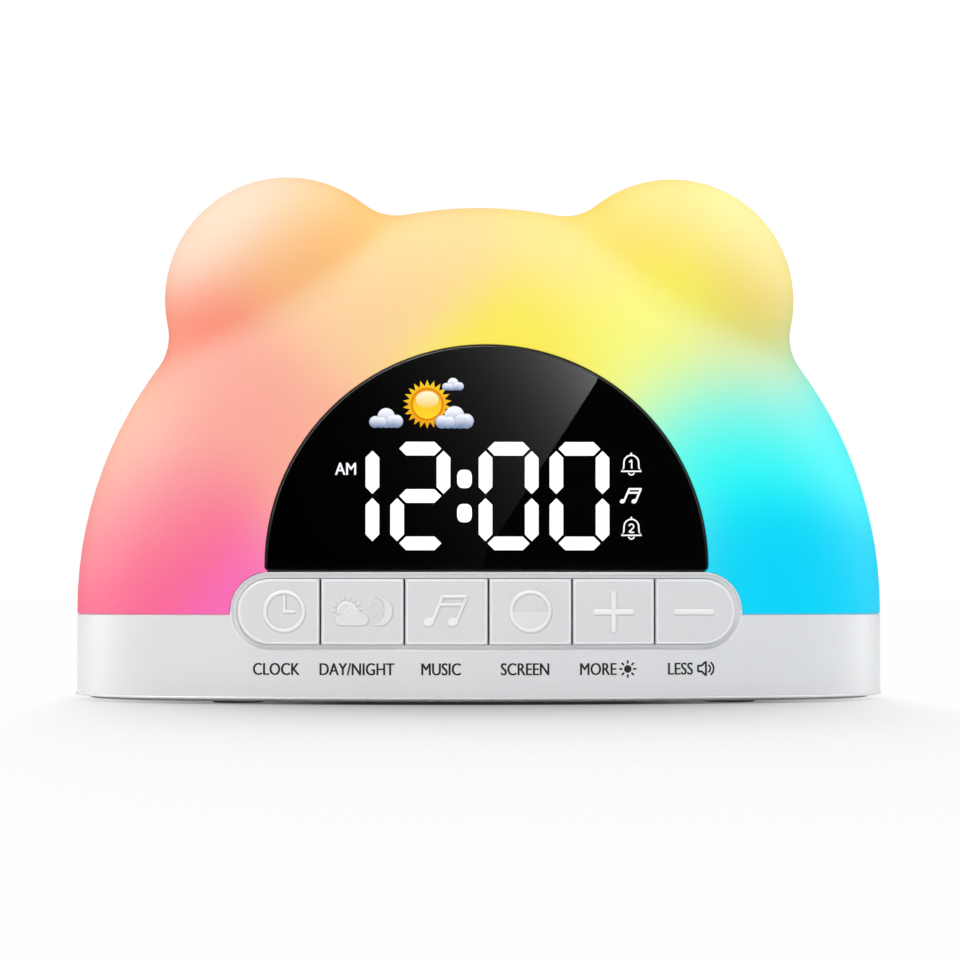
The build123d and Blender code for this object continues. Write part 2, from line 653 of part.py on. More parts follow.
def display_housing():
    """Black tub behind the lens: flange behind the dome, light stop over the tray, two feet on the deck."""
    seat = -DOME_WALL - TAPE_THICKNESS
    stop_top = LENS_BOTTOM_Z + SHROUD_INSET + LENS_CORNER
    stop_width = 2 * (LENS_RADIUS - SHROUD_INSET)
    light_stop = Pos(0, (TAB_TOP_Z + stop_top) / 2) * Rectangle(stop_width, stop_top - TAB_TOP_Z)
    outline = lens_outline(-SHROUD_INSET) + light_stop
    tub = front_prism(outline, -CUT_REACH, DISPLAY_BACK_Y) & front_ball(seat)
    flange = front_plate(lens_outline(SHROUD_FLANGE), seat, seat - SHROUD_WALL)
    lower = Pos(0, LENS_BOTTOM_Z + SHROUD_INSET - BODY_WIDTH / 2) * Rectangle(2 * BODY_WIDTH, BODY_WIDTH)
    tub += flange - front_prism(lower, -CUT_REACH, 0)
    tub -= front_prism(lens_outline(SHROUD_ROOM), -CUT_REACH, SHROUD_FLOOR_Y)
    for x, y in leg_points():
        leg_top = LENS_CENTRE_Z + LEG_FOOT
        tub += block(x, DISPLAY_BACK_Y + SHROUD_WALL / 2, LEG_WIDTH, SHROUD_WALL, SEAM_Z, leg_top)
        tub += block(x, y, LEG_WIDTH, LEG_FOOT, SEAM_Z, SEAM_Z + SHROUD_WALL)
        tub -= disc(x, y, SCREW_RADIUS + FIT, SEAM_Z, SEAM_Z + SHROUD_WALL)
    tub -= front_prism(ribbon_window(), SHROUD_FLOOR_Y, DISPLAY_BACK_Y)
    return tub


def ribbon_window_z():
    """Height at which the display ribbon leaves the housing."""
    return LENS_CENTRE_Z + RIBBON_SLOT_DEPTH


def ribbon_window():
    """Opening in the housing's floor for the display ribbon."""
    slot = Rectangle(RIBBON_WIDTH + 2 * SLIDE, RIBBON_SLOT_DEPTH)
    return Pos(DISPLAY_RIBBON_X, ribbon_window_z()) * slot


def display_screws():
    """Screws through the housing's feet into the deck."""
    head = SEAM_Z + SHROUD_WALL
    return [Pos(x, y, head) * Rot(180, 0, 0) * screw(SCREW_GRIP) for x, y in leg_points()]


def inner_outline():
    """Outline of what sits inside the display housing."""
    return lens_outline(SHROUD_ROOM - FIT)


def display_board():
    """Half-round circuit board on the housing's floor."""
    return front_prism(inner_outline(), DISPLAY_BOARD_Y, SHROUD_FLOOR_Y)


def bar(length, upright):
    """Six-sided segment with pointed ends."""
    half = length / 2
    wide = SEGMENT_WIDTH / 2
    shoulder = half - wide
    right = [(shoulder, -wide), (half, 0), (shoulder, wide)]
    left = [(-shoulder, wide), (-half, 0), (-shoulder, -wide)]
    face = make_face(Polyline(*right, *left, close=True))
    return Rot(0, 0, 90) * face if upright else face


def figure_segments(centre, lit):
    """Segments of one figure; lit holds the letters a to g of those that are fitted."""
    across = FIGURE_WIDTH - SEGMENT_WIDTH
    rise = (FIGURE_HEIGHT - SEGMENT_WIDTH) / 2
    flat = bar(across - 2 * SEGMENT_GAP, False)
    upright = bar(rise - 2 * SEGMENT_GAP, True)
    places = {
        "a": Pos(0, rise) * flat,
        "b": Pos(across / 2, rise / 2) * upright,
        "c": Pos(across / 2, -rise / 2) * upright,
        "d": Pos(0, -rise) * flat,
        "e": Pos(-across / 2, -rise / 2) * upright,
        "f": Pos(-across / 2, rise / 2) * upright,
        "g": flat,
    }
    return [Pos(centre, FIGURE_Z) * places[letter] for letter in lit]


def segment_faces():
    """All bars and the two dots of the time, as flat outlines."""
    first = COLON_X - COLON_REACH
    last = COLON_X + COLON_REACH
    faces = figure_segments(first - FIGURE_PITCH, "bc")
    for centre in (first, last, last + FIGURE_PITCH):
        faces += figure_segments(centre, "abcdefg")
    dot = RectangleRounded(COLON_WIDTH, COLON_HEIGHT, COLON_CORNER)
    faces += [Pos(COLON_X, FIGURE_Z + side * COLON_SPREAD / 2) * dot for side in (-1, 1)]
    return faces


def window_faces():
    """Windows of the picture, the half-day sign and the three side signs."""
    picture = RectangleRounded(WEATHER_WIDTH, WEATHER_HEIGHT, WEATHER_CORNER)
    faces = [Pos(WEATHER_X, WEATHER_Z) * picture]
    half_day = Rectangle(HALF_DAY_WINDOW_WIDTH, HALF_DAY_WINDOW_HEIGHT)
    faces.append(Pos(HALF_DAY_WINDOW_X, LENS_BOTTOM_Z + HALF_DAY_WINDOW_RISE) * half_day)
    for row in (-1, 0, 1):
        square = Rectangle(SIDE_WINDOW, SIDE_WINDOW)
        faces.append(Pos(SIDE_WINDOW_X, FIGURE_Z + row * SIDE_WINDOW_PITCH) * square)
    return faces


def digit_reflector():
    """Black block with a light well for every segment and window."""
    wells = [front_prism(face, REFLECTOR_Y, DISPLAY_BOARD_Y) for face in segment_faces() + window_faces()]
    return front_prism(inner_outline(), REFLECTOR_Y, DISPLAY_BOARD_Y) - wells


def diffusers(faces):
    """Milky inserts at the mouth of the given wells."""
    inset = [offset(face, -DOME_CONTACT, kind=Kind.INTERSECTION) for face in faces]
    return [front_prism(face, REFLECTOR_Y, REFLECTOR_Y + DIFFUSER_DEPTH) for face in inset]


def display_leds():
    """One light for each segment and window, at the bottom of its well."""
    spots = [face.center() for face in segment_faces() + window_faces()]
    chip = Rectangle(LED_SIZE, LED_SIZE)
    back = DISPLAY_BOARD_Y
    return [front_prism(Pos(spot.X, spot.Y) * chip, back - LED_HEIGHT, back) for spot in spots]


# Lamp, main board, power inlet and sound


def lamp_board():
    """Night-light board on the deck's standoffs."""
    sheet = Pos(0, LAMP_BOARD_Y) * RectangleRounded(LAMP_BOARD_WIDTH, LAMP_BOARD_DEPTH, SCREW_INSET)
    board = plan_prism(sheet, LAMP_BOARD_Z, LAMP_BOARD_TOP_Z)
    for x, y in lamp_screw_points():
        board -= disc(x, y, SCREW_RADIUS + FIT, LAMP_BOARD_Z, LAMP_BOARD_TOP_Z)
    return board


def lamp_leds():
    """Two rows of colour lights."""
    top = LAMP_BOARD_TOP_Z + LAMP_LED_HEIGHT
    lights = []
    for column in range(-2, 3):
        for row in (-0.5, 0.5):
            x = column * LAMP_LED_PITCH_X
            y = LAMP_BOARD_Y + row * LAMP_LED_PITCH_Y
            lights.append(block(x, y, LAMP_LED_SIZE, LAMP_LED_SIZE, LAMP_BOARD_TOP_Z, top))
    return lights


def lamp_board_screws():
    """Screws that hold the lamp board down."""
    grip = SCREW_GRIP + BOARD_THICKNESS
    return [Pos(x, y, LAMP_BOARD_TOP_Z) * Rot(180, 0, 0) * screw(grip) for x, y in lamp_screw_points()]


def dome_screws():
    """Screws from under the deck into the dome's posts."""
    grip = SCREW_GRIP + DECK_THICKNESS
    return [Pos(x, y, DECK_Z) * screw(grip) for x, y in dome_screw_points()]


def cover_screws():
    """Screws in the cover's seats, into the base's bosses."""
    seat = COVER_Z + SCREW_HEAD_HEIGHT
    grip = COVER_TOP_Z - seat + SCREW_GRIP
    return [Pos(x, y, seat) * screw(grip) for x, y in cover_screw_points()]


def main_board():
    """Circuit board that hangs under the deck."""
    sheet = Pos(MAIN_BOARD_X, MAIN_BOARD_Y) * Rectangle(MAIN_BOARD_WIDTH, MAIN_BOARD_DEPTH)
    board = plan_prism(sheet, MAIN_BOARD_Z, MAIN_BOARD_TOP_Z)
    for x, y in main_screw_points():
        board -= disc(x, y, SCREW_RADIUS + FIT, MAIN_BOARD_Z, MAIN_BOARD_TOP_Z)
    return board


def main_board_screws():
    """Screws from below into the deck's posts."""
    grip = SCREW_GRIP + BOARD_THICKNESS
    return [Pos(x, y, MAIN_BOARD_Z) * screw(grip) for x, y in main_screw_points()]


def board_chips():
    """Processor, sound chip and memory on top of the main board."""
    top = MAIN_BOARD_TOP_Z
    row = MAIN_BOARD_Y - MAIN_BOARD_DEPTH / 6
    processor = block(MAIN_BOARD_X, row, PROCESSOR_SIZE, PROCESSOR_SIZE, top, top + CHIP_HEIGHT)
    places = [MAIN_BOARD_X + side * MAIN_BOARD_WIDTH / 4 for side in (-1, 1)]
    return [processor] + [block(x, row, CHIP_SIZE, CHIP_SIZE, top, top + CHIP_HEIGHT) for x in places]


def board_capacitors():
    """Two electrolytic cans beside the power inlet."""
    y = MAIN_BOARD_Y + MAIN_BOARD_DEPTH / 4
    places = [USB_X - USB_WIDTH, USB_X + USB_WIDTH]
    return [disc(x, y, CAN_RADIUS, MAIN_BOARD_TOP_Z, MAIN_BOARD_TOP_Z + CAN_HEIGHT) for x in places]


def cell_holder():
    """Open tray under the main board for the clock's back-up cell."""
    depth = HOLDER_FLOOR + CELL_THICKNESS
    outer = disc(CELL_X, CELL_Y, CELL_RADIUS + FIT + HOLDER_WALL, MAIN_BOARD_Z - depth, MAIN_BOARD_Z)
    outer -= disc(CELL_X, CELL_Y, CELL_RADIUS + FIT, MAIN_BOARD_Z - depth, MAIN_BOARD_Z - HOLDER_FLOOR)
    notch_y = CELL_Y - CELL_RADIUS
    finger = block(CELL_X, notch_y, CELL_RADIUS, CELL_RADIUS, MAIN_BOARD_Z - depth, MAIN_BOARD_Z)
    return outer - finger


def coin_cell():
    """Back-up cell for the clock."""
    top = MAIN_BOARD_Z - HOLDER_FLOOR
    cell = disc(CELL_X, CELL_Y, CELL_RADIUS, top - CELL_THICKNESS, top)
    return chamfer(cell.edges(), HOLDER_FLOOR)


def usb_outline(inset):
    """Rounded mouth of the power inlet."""
    width = USB_WIDTH - 2 * inset
    return Pos(USB_X, USB_Z) * RectangleRounded(width, USB_HEIGHT - 2 * inset, USB_CORNER - inset)


def usb_shell():
    """Steel shell of the power inlet, closed at its inner end."""
    shell = front_prism(usb_outline(0.0), USB_MOUTH_Y - USB_LENGTH, USB_MOUTH_Y)
    return shell - front_prism(usb_outline(USB_WALL), USB_MOUTH_Y - USB_LENGTH + USB_WALL, USB_MOUTH_Y)


def usb_tongue():
    """Contact tongue inside the inlet."""
    root = USB_MOUTH_Y - USB_LENGTH + USB_WALL
    blade = Pos(USB_X, USB_Z) * Rectangle(TONGUE_WIDTH, TONGUE_THICKNESS)
    return front_prism(blade, root, root + TONGUE_LENGTH)


def turned(*points):
    """Speaker piece: a closed (radius, height) profile turned about the speaker's axis."""
    profile = make_face(Polyline(*points, close=True))
    solid = revolve(Plane.XZ * profile, Axis.Z, 360)
    return Pos(SPEAKER_X, SPEAKER_Y, SPEAKER_Z) * solid


def speaker_gasket():
    """Foam ring between the grille and the speaker."""
    inner = SPEAKER_RADIUS - SPEAKER_FLANGE
    ring = Circle(SPEAKER_RADIUS) - Circle(inner)
    return plan_prism(Pos(SPEAKER_X, SPEAKER_Y) * ring, COVER_TOP_Z, SPEAKER_Z)


def speaker_frame():
    """Pressed basket with a flange, open towards the grille."""
    rim = SPEAKER_RADIUS - SPEAKER_FLANGE
    sheet = SPEAKER_SHEET
    return turned(
        (rim, 0),
        (SPEAKER_RADIUS, 0),
        (SPEAKER_RADIUS, sheet),
        (rim + sheet, sheet),
        (BASKET_RADIUS + sheet, BASKET_DEPTH),
        (0, BASKET_DEPTH),
        (0, BASKET_DEPTH - sheet),
        (BASKET_RADIUS, BASKET_DEPTH - sheet),
        (rim, sheet),
    )


def speaker_cone():
    """Paper cone with its dust cap, glued inside the flange."""
    rim = SPEAKER_RADIUS - SPEAKER_FLANGE - DOME_CONTACT
    cap = BASKET_RADIUS / 2
    return turned(
        (rim, 0),
        (rim, CONE_SHEET),
        (cap, CONE_DEPTH),
        (0, CONE_DEPTH - CONE_SHEET),
        (0, CONE_DEPTH - 2 * CONE_SHEET),
        (cap, CONE_DEPTH - CONE_SHEET),
        (rim - CONE_SHEET, 0),
    )


def speaker_magnet():
    """Magnet on the basket's back."""
    bottom = SPEAKER_Z + BASKET_DEPTH
    return disc(SPEAKER_X, SPEAKER_Y, MAGNET_RADIUS, bottom, bottom + MAGNET_HEIGHT)


# Ribbons between the boards


def ribbon_slots():
    """Slots in the deck for the display and lamp ribbons."""
    display = (DISPLAY_RIBBON_X, NOTCH_Y + LEG_FOOT / 2)
    lamp = (LAMP_RIBBON_X, LAMP_BOARD_Y + LAMP_BOARD_DEPTH / 2 + RIBBON_SLOT_DEPTH)
    return [display, lamp]


def ribbon(x, points):
    """Flat cable of even thickness along a bent path in the YZ plane."""
    strip = trace(Polyline(*points), RIBBON_THICKNESS)
    side = Plane(origin=(x - RIBBON_WIDTH / 2, 0, 0), x_dir=(0, 1, 0), z_dir=(1, 0, 0)) * strip
    return extrude(side, RIBBON_WIDTH, dir=(1, 0, 0))


def landing_z():
    """Middle of a ribbon that lies on the main board."""
    return MAIN_BOARD_TOP_Z + RIBBON_THICKNESS / 2


def front_landing_y():
    """Where the front ribbons end on the main board."""
    return MAIN_BOARD_Y - MAIN_BOARD_DEPTH / 2 + SCREW_INSET


def display_ribbon():
    """From the display board's back, down through the deck to the main board."""
    x, slot = ribbon_slots()[0]
    start = (SHROUD_FLOOR_Y, ribbon_window_z())
    end = (front_landing_y(), landing_z())
    return ribbon(x, [start, (slot, start[1]), (slot, end[1]), end])


def button_ribbon():
    """From the key board's back, under the deck to the main board."""
    slot = ribbon_slots()[0][1]
    start = (BUTTON_BOARD_BACK_Y, DECK_Z - RIBBON_SLOT_DEPTH)
    end = (front_landing_y(), landing_z())
    return ribbon(BUTTON_RIBBON_X, [start, (slot, start[1]), (slot, end[1]), end])


def lamp_ribbon():
    """From the lamp board's rear edge, down through the deck to the main board."""
    x, slot = ribbon_slots()[1]
    start = (LAMP_BOARD_Y + LAMP_BOARD_DEPTH / 2 - SCREW_INSET, LAMP_BOARD_TOP_Z + RIBBON_THICKNESS / 2)
    end = (slot - RIBBON_LANDING, landing_z())
    return ribbon(x, [start, (slot, start[1]), (slot, end[1]), end])


SINGLE = (
    light_dome, base_housing, bottom_cover, silicone_keypad, button_board, display_lens, lens_tape,
    display_housing, display_board, digit_reflector, lamp_board, main_board, cell_holder, coin_cell,
    usb_shell, usb_tongue, speaker_gasket, speaker_frame, speaker_cone, speaker_magnet,
    display_ribbon, button_ribbon, lamp_ribbon,
)
GROUPS = (
    rubber_feet, carbon_pills, button_board_screws, display_screws, display_leds, lamp_leds,
    lamp_board_screws, dome_screws, cover_screws, main_board_screws, board_chips, board_capacitors,
)
KEY_NAMES = (
    "clock_button", "lamp_button", "melody_button", "screen_button", "plus_button", "minus_button",
)


def main():
    """Build every piece and write one file for each."""
    os.makedirs("parts", exist_ok=True)
    pieces = {make.__name__: make() for make in SINGLE}
    pieces.update({make.__name__: Compound(make()) for make in GROUPS})
    pieces["digit_segments"] = Compound(diffusers(segment_faces()))
    pieces["indicator_windows"] = Compound(diffusers(window_faces()))
    pieces.update({name: key_cap(index) for index, name in enumerate(KEY_NAMES)})
    for name, shape in pieces.items():
        export_step(shape, f"parts/{name}.step")


main()
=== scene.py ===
"""Sunrise alarm clock: finishes, key emblems, printed labels, lit display and studio.

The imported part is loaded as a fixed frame. Sizes here are millimetres, like the part's own, and every mesh
is written in metres. The front faces -Y, X runs to the right and Z is up.
"""

import json
import logging
import math
from dataclasses import dataclass
from enum import Enum
from functools import cache
from typing import Callable, Sequence, Union

import bmesh
import bpy
import numpy as np
from mathutils import Euler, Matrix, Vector

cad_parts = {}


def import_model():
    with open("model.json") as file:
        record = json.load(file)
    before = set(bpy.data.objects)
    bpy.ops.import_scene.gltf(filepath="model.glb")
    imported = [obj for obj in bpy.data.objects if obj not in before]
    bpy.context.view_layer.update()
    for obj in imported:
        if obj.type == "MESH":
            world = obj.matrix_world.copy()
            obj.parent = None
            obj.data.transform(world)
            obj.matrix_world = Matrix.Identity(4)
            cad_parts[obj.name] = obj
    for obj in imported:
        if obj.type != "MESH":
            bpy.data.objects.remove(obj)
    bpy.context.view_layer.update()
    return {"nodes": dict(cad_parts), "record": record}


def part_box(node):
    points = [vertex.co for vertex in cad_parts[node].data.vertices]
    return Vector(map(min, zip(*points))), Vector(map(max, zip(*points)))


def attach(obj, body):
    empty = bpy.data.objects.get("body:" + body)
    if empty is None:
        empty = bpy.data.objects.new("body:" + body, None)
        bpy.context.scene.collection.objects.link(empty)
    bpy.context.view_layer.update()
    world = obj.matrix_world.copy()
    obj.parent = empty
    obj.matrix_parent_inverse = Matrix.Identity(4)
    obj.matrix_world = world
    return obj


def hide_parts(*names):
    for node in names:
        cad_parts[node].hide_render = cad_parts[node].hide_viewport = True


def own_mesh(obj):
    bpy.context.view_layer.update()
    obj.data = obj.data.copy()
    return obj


LOG = logging.getLogger("alarm_clock")
MM = 0.001
MERGE_DISTANCE = 1e-7
SLIVER_LENGTH = 1e-8
CLOCK_BODY = "clock_body"

Array = np.ndarray
Colour = tuple[float, float, float]
Place = tuple[float, float]
Spot = tuple[float, float, float]
Carrier = Callable[[Array], Array]
Tone = Callable[[Array], Array]
Feed = Union[bpy.types.NodeSocket, float, Sequence[float]]


def linear(red: int, green: int, blue: int) -> Colour:
    """Turns a screen colour of 0 to 255 into linear light.

    Args:
        red: Red on the screen.
        green: Green on the screen.
        blue: Blue on the screen.

    Returns:
        The colour in linear light.
    """
    share = np.array([red, green, blue]) / 255.0
    light = np.where(share <= 0.04045, share / 12.92, ((share + 0.055) / 1.055) ** 2.4)
    return tuple(float(value) for value in light)


class Wiring:
    """Adds and links the nodes of one shader tree."""

    colour_inputs = (0, 6, 7)
    colour_result = 2

    def __init__(self, tree: bpy.types.NodeTree) -> None:
        """Keeps the tree that nodes are added to."""
        self.tree = tree

    def feed(self, socket: bpy.types.NodeSocket, value: Feed) -> None:
        """Links a socket to an input, or sets a plain value on it.

        Args:
            socket: The input.
            value: A socket, or a plain value.
        """
        if isinstance(value, bpy.types.NodeSocket):
            self.tree.links.new(value, socket)
        else:
            socket.default_value = value

    def node(self, kind: str, *values: Feed, **settings: object) -> bpy.types.Node:
        """Adds a node.

        Args:
            kind: Blender's name of the node type.
            *values: What its inputs get, in their order.
            **settings: Properties to set on it.

        Returns:
            The new node.
        """
        made = self.tree.nodes.new(kind)
        for name, value in settings.items():
            setattr(made, name, value)
        for socket, value in zip(made.inputs, values):
            self.feed(socket, value)
        return made

    def math(self, operation: str, *values: Feed) -> bpy.types.NodeSocket:
        """Adds a Math node and returns its result."""
        return self.node("ShaderNodeMath", *values, operation=operation).outputs[0]

    def vector(self, operation: str, *values: Feed, result: str = "Vector") -> bpy.types.NodeSocket:
        """Adds a Vector Math node and returns the named result."""
        return self.node("ShaderNodeVectorMath", *values, operation=operation).outputs[result]

    def scale(self, value: Feed, factor: Feed) -> bpy.types.NodeSocket:
        """Multiplies a colour or vector by a number.

        Args:
            value: The colour or vector.
            factor: The number.

        Returns:
            The product.
        """
        made = self.node("ShaderNodeVectorMath", value, operation="SCALE")
        self.feed(made.inputs["Scale"], factor)
        return made.outputs["Vector"]

    def power(self, colour: Feed, exponent: Feed) -> bpy.types.NodeSocket:
        """Raises each part of a colour to a power, which deepens it."""
        return self.node("ShaderNodeGamma", colour, exponent).outputs[0]

    def blend(self, share: Feed, first: Feed, second: Feed) -> bpy.types.NodeSocket:
        """Mixes two colours.

        Args:
            share: Share of the second colour.
            first: First colour.
            second: Second colour.

        Returns:
            The mixed colour.
        """
        made = self.node("ShaderNodeMix", data_type="RGBA")
        for socket, value in zip(self.colour_inputs, (share, first, second)):
            self.feed(made.inputs[socket], value)
        return made.outputs[self.colour_result]

    def join(self, share: Feed, first: Feed, second: Feed) -> bpy.types.NodeSocket:
        """Mixes two shaders, by the share of the second."""
        return self.node("ShaderNodeMixShader", share, first, second).outputs[0]

    def span(self, value: Feed, *limits: float) -> bpy.types.NodeSocket:
        """Maps the range between the first two limits onto that between the last two, clamped."""
        return self.node("ShaderNodeMapRange", value, *limits).outputs[0]

    def noise(self, place: Feed, scale: Feed, detail: float = 2.0) -> bpy.types.NodeSocket:
        """Adds a noise texture.

        Args:
            place: Coordinates.
            scale: Waves per metre.
            detail: Number of finer layers.

        Returns:
            The noise value.
        """
        made = self.node("ShaderNodeTexNoise", place)
        self.feed(made.inputs["Scale"], scale)
        self.feed(made.inputs["Detail"], detail)
        return made.outputs[0]

    def place(self) -> bpy.types.NodeSocket:
        """Adds the piece's own coordinates, in metres, and returns them."""
        return self.node("ShaderNodeTexCoord").outputs["Object"]

    def axes(self, place: Feed) -> bpy.types.NodeOutputs:
        """Splits coordinates into their three parts."""
        return self.node("ShaderNodeSeparateXYZ", place).outputs


class Pattern(Enum):
    """Surface effects that finishes share, each a node group with the same sockets."""

    GRAIN = "Moulded grain"
    BRUSHED = "Brushed metal"
    TRACES = "Board traces"
    WIRES = "Ribbon wires"
    CELLS = "Open cells"


class PatternShop:
    """Builds each shared node group once. A ramp holds the values between which a mask rises."""

    inputs = (("Colour", "NodeSocketColor"), ("Second Colour", "NodeSocketColor"),
              ("Roughness", "NodeSocketFloat"), ("Per Metre", "NodeSocketFloat"))
    outputs = (("Colour", "NodeSocketColor"), ("Roughness", "NodeSocketFloat"), ("Height", "NodeSocketFloat"))
    layers = 3.0
    noise_ramp = (0.3, 0.7)
    gloss_waves = 45.0
    gloss_spread = (0.88, 1.12)
    cloud_waves = 28.0
    streak_stretch = (0.04, 1.0, 1.0)
    streak_ramp = (0.35, 0.65)
    cell_ramp = (0.1, 0.6)
    trace_rows = {"offset": 0.37, "squash": 1.6, "squash_frequency": 3}
    trace_width = 0.045
    wire_ramp = (0.15, 0.3)

    def __init__(self) -> None:
        """Starts with no groups."""
        self.groups: dict[Pattern, bpy.types.NodeTree] = {}

    def group(self, pattern: Pattern) -> bpy.types.NodeTree:
        """Finds or builds the node group of a pattern.

        Args:
            pattern: The effect.

        Returns:
            Its node group.
        """
        if pattern not in self.groups:
            self.groups[pattern] = self.build(pattern)
        return self.groups[pattern]

    def build(self, pattern: Pattern) -> bpy.types.NodeTree:
        """Builds the node group of a pattern, with the sockets that all patterns share.

        Args:
            pattern: The effect.

        Returns:
            The new node group.
        """
        tree = bpy.data.node_groups.new(pattern.value, "ShaderNodeTree")
        for side, sockets in (("INPUT", self.inputs), ("OUTPUT", self.outputs)):
            for name, kind in sockets:
                tree.interface.new_socket(name=name, in_out=side, socket_type=kind)
        wires = Wiring(tree)
        given = wires.node("NodeGroupInput").outputs
        height, share = self.waves(pattern, wires, given["Per Metre"])
        drift = wires.noise(wires.place(), self.gloss_waves, self.layers)
        spread = wires.span(drift, *self.noise_ramp, *self.gloss_spread)
        result = wires.node("NodeGroupOutput").inputs
        wires.feed(result["Colour"], wires.blend(share, given["Colour"], given["Second Colour"]))
        wires.feed(result["Roughness"], wires.math("MULTIPLY", given["Roughness"], spread))
        wires.feed(result["Height"], height)
        return tree

    def waves(self, pattern: Pattern, wires: Wiring, density: Feed) -> tuple[Feed, Feed]:
        """Works out a pattern's relief and its share of the second colour.

        Args:
            pattern: The effect.
            wires: The group's nodes.
            density: Waves per metre.

        Returns:
            The relief and the share of the second colour, both 0 to 1.
        """
        place = wires.place()
        if pattern is Pattern.BRUSHED:
            streaks = wires.noise(wires.vector("MULTIPLY", place, self.streak_stretch), density, self.layers)
            return streaks, wires.span(streaks, *self.streak_ramp, 0.0, 1.0)
        if pattern is Pattern.TRACES:
            return self.traces(wires, place, density)
        if pattern is Pattern.WIRES:
            return self.stripes(wires, place, density)
        if pattern is Pattern.CELLS:
            cells = wires.node("ShaderNodeTexVoronoi", place)
            wires.feed(cells.inputs["Scale"], density)
            depth = wires.span(cells.outputs["Distance"], *self.cell_ramp, 1.0, 0.0)
            return depth, wires.span(depth, 0.0, 1.0, 1.0, 0.0)
        grain = wires.noise(place, density, self.layers)
        cloud = wires.noise(place, self.cloud_waves)
        return grain, wires.span(cloud, *self.noise_ramp, 0.0, 1.0)

    def traces(self, wires: Wiring, place: Feed, density: Feed) -> tuple[Feed, Feed]:
        """Lays copper lines under a solder mask: rows of bricks with thin joints.

        Args:
            wires: The group's nodes.
            place: Coordinates.
            density: Lines per metre.

        Returns:
            The relief and the share of the second colour.
        """
        axes = wires.axes(place)
        flat = wires.node("ShaderNodeCombineXYZ", axes[0], wires.math("ADD", axes[1], axes[2]))
        bricks = wires.node("ShaderNodeTexBrick", flat.outputs[0], **self.trace_rows)
        wires.feed(bricks.inputs["Scale"], density)
        wires.feed(bricks.inputs["Mortar Size"], self.trace_width)
        joint = bricks.outputs["Fac"]
        return joint, joint

    def stripes(self, wires: Wiring, place: Feed, density: Feed) -> tuple[Feed, Feed]:
        """Lays parallel conductors across X.

        Args:
            wires: The group's nodes.
            place: Coordinates.
            density: Conductors per metre.

        Returns:
            The relief and the share of the second colour.
        """
        phase = wires.math("FRACT", wires.math("MULTIPLY", wires.axes(place)[0], density))
        ridge = wires.span(wires.math("PINGPONG", phase, 0.5), *self.wire_ramp, 0.0, 1.0)
        return ridge, ridge


SHOP = PatternShop()


@dataclass(frozen=True)
class Finish:
    """A moulded, rubber, board or metal finish: a pattern with its own colours and gloss.

    The grain is the spacing of the pattern and the depth its relief, in millimetres.
    """

    name: str
    colour: Colour
    second: Colour
    roughness: float
    pattern: Pattern = Pattern.GRAIN
    grain: float = 0.5
    depth: float = 0.01
    metallic: float = 0.0
    specular: float = 0.5
    coat: float = 0.0

    @cache
    def material(self) -> bpy.types.Material:
        """Builds the material once.

        Returns:
            The material.
        """
        made, wires, sockets = new_material(self.name)
        effect = wires.node("ShaderNodeGroup", (*self.colour, 1.0), (*self.second, 1.0), self.roughness,
                            1.0 / (self.grain * MM), node_tree=SHOP.group(self.pattern)).outputs
        wires.feed(sockets["Base Color"], effect["Colour"])
        wires.feed(sockets["Roughness"], effect["Roughness"])
        wires.feed(sockets["Normal"], relief_normal(wires, effect["Height"], self.depth))
        wires.feed(sockets["Metallic"], self.metallic)
        wires.feed(sockets["Specular IOR Level"], self.specular)
        wires.feed(sockets["Coat Weight"], self.coat)
        return made


def new_material(name: str) -> tuple[bpy.types.Material, Wiring, bpy.types.NodeInputs]:
    """Makes a material that holds one Principled shader.

    Args:
        name: The material's name.

    Returns:
        The material, its nodes and the inputs of its shader.
    """
    made = bpy.data.materials.new(name)
    made.use_nodes = True
    return made, Wiring(made.node_tree), made.node_tree.nodes["Principled BSDF"].inputs


def stage_material(name: str) -> tuple[bpy.types.Material, Wiring, bpy.types.NodeSocket]:
    """Makes a material of the studio, with no shader yet.

    Args:
        name: The material's name.

    Returns:
        The material, its nodes and the input that its shader feeds.
    """
    made, wires, _ = new_material(name)
    made.node_tree.nodes.remove(made.node_tree.nodes["Principled BSDF"])
    return made, wires, made.node_tree.nodes["Material Output"].inputs["Surface"]


def relief_normal(wires: Wiring, height: Feed, depth: float) -> bpy.types.NodeSocket:
    """Turns a relief into a normal.

    Args:
        wires: The material's nodes.
        height: Relief of 0 to 1.
        depth: What 1 stands for, in millimetres.

    Returns:
        The normal.
    """
    bump = wires.node("ShaderNodeBump")
    wires.feed(bump.inputs["Distance"], depth * MM)
    wires.feed(bump.inputs["Height"], height)
    return bump.outputs["Normal"]


@dataclass(frozen=True)
class LampPool:
    """One pool of coloured light inside the dome, with its middle as seen from the front in millimetres."""

    name: str
    light: Colour
    x: float
    z: float


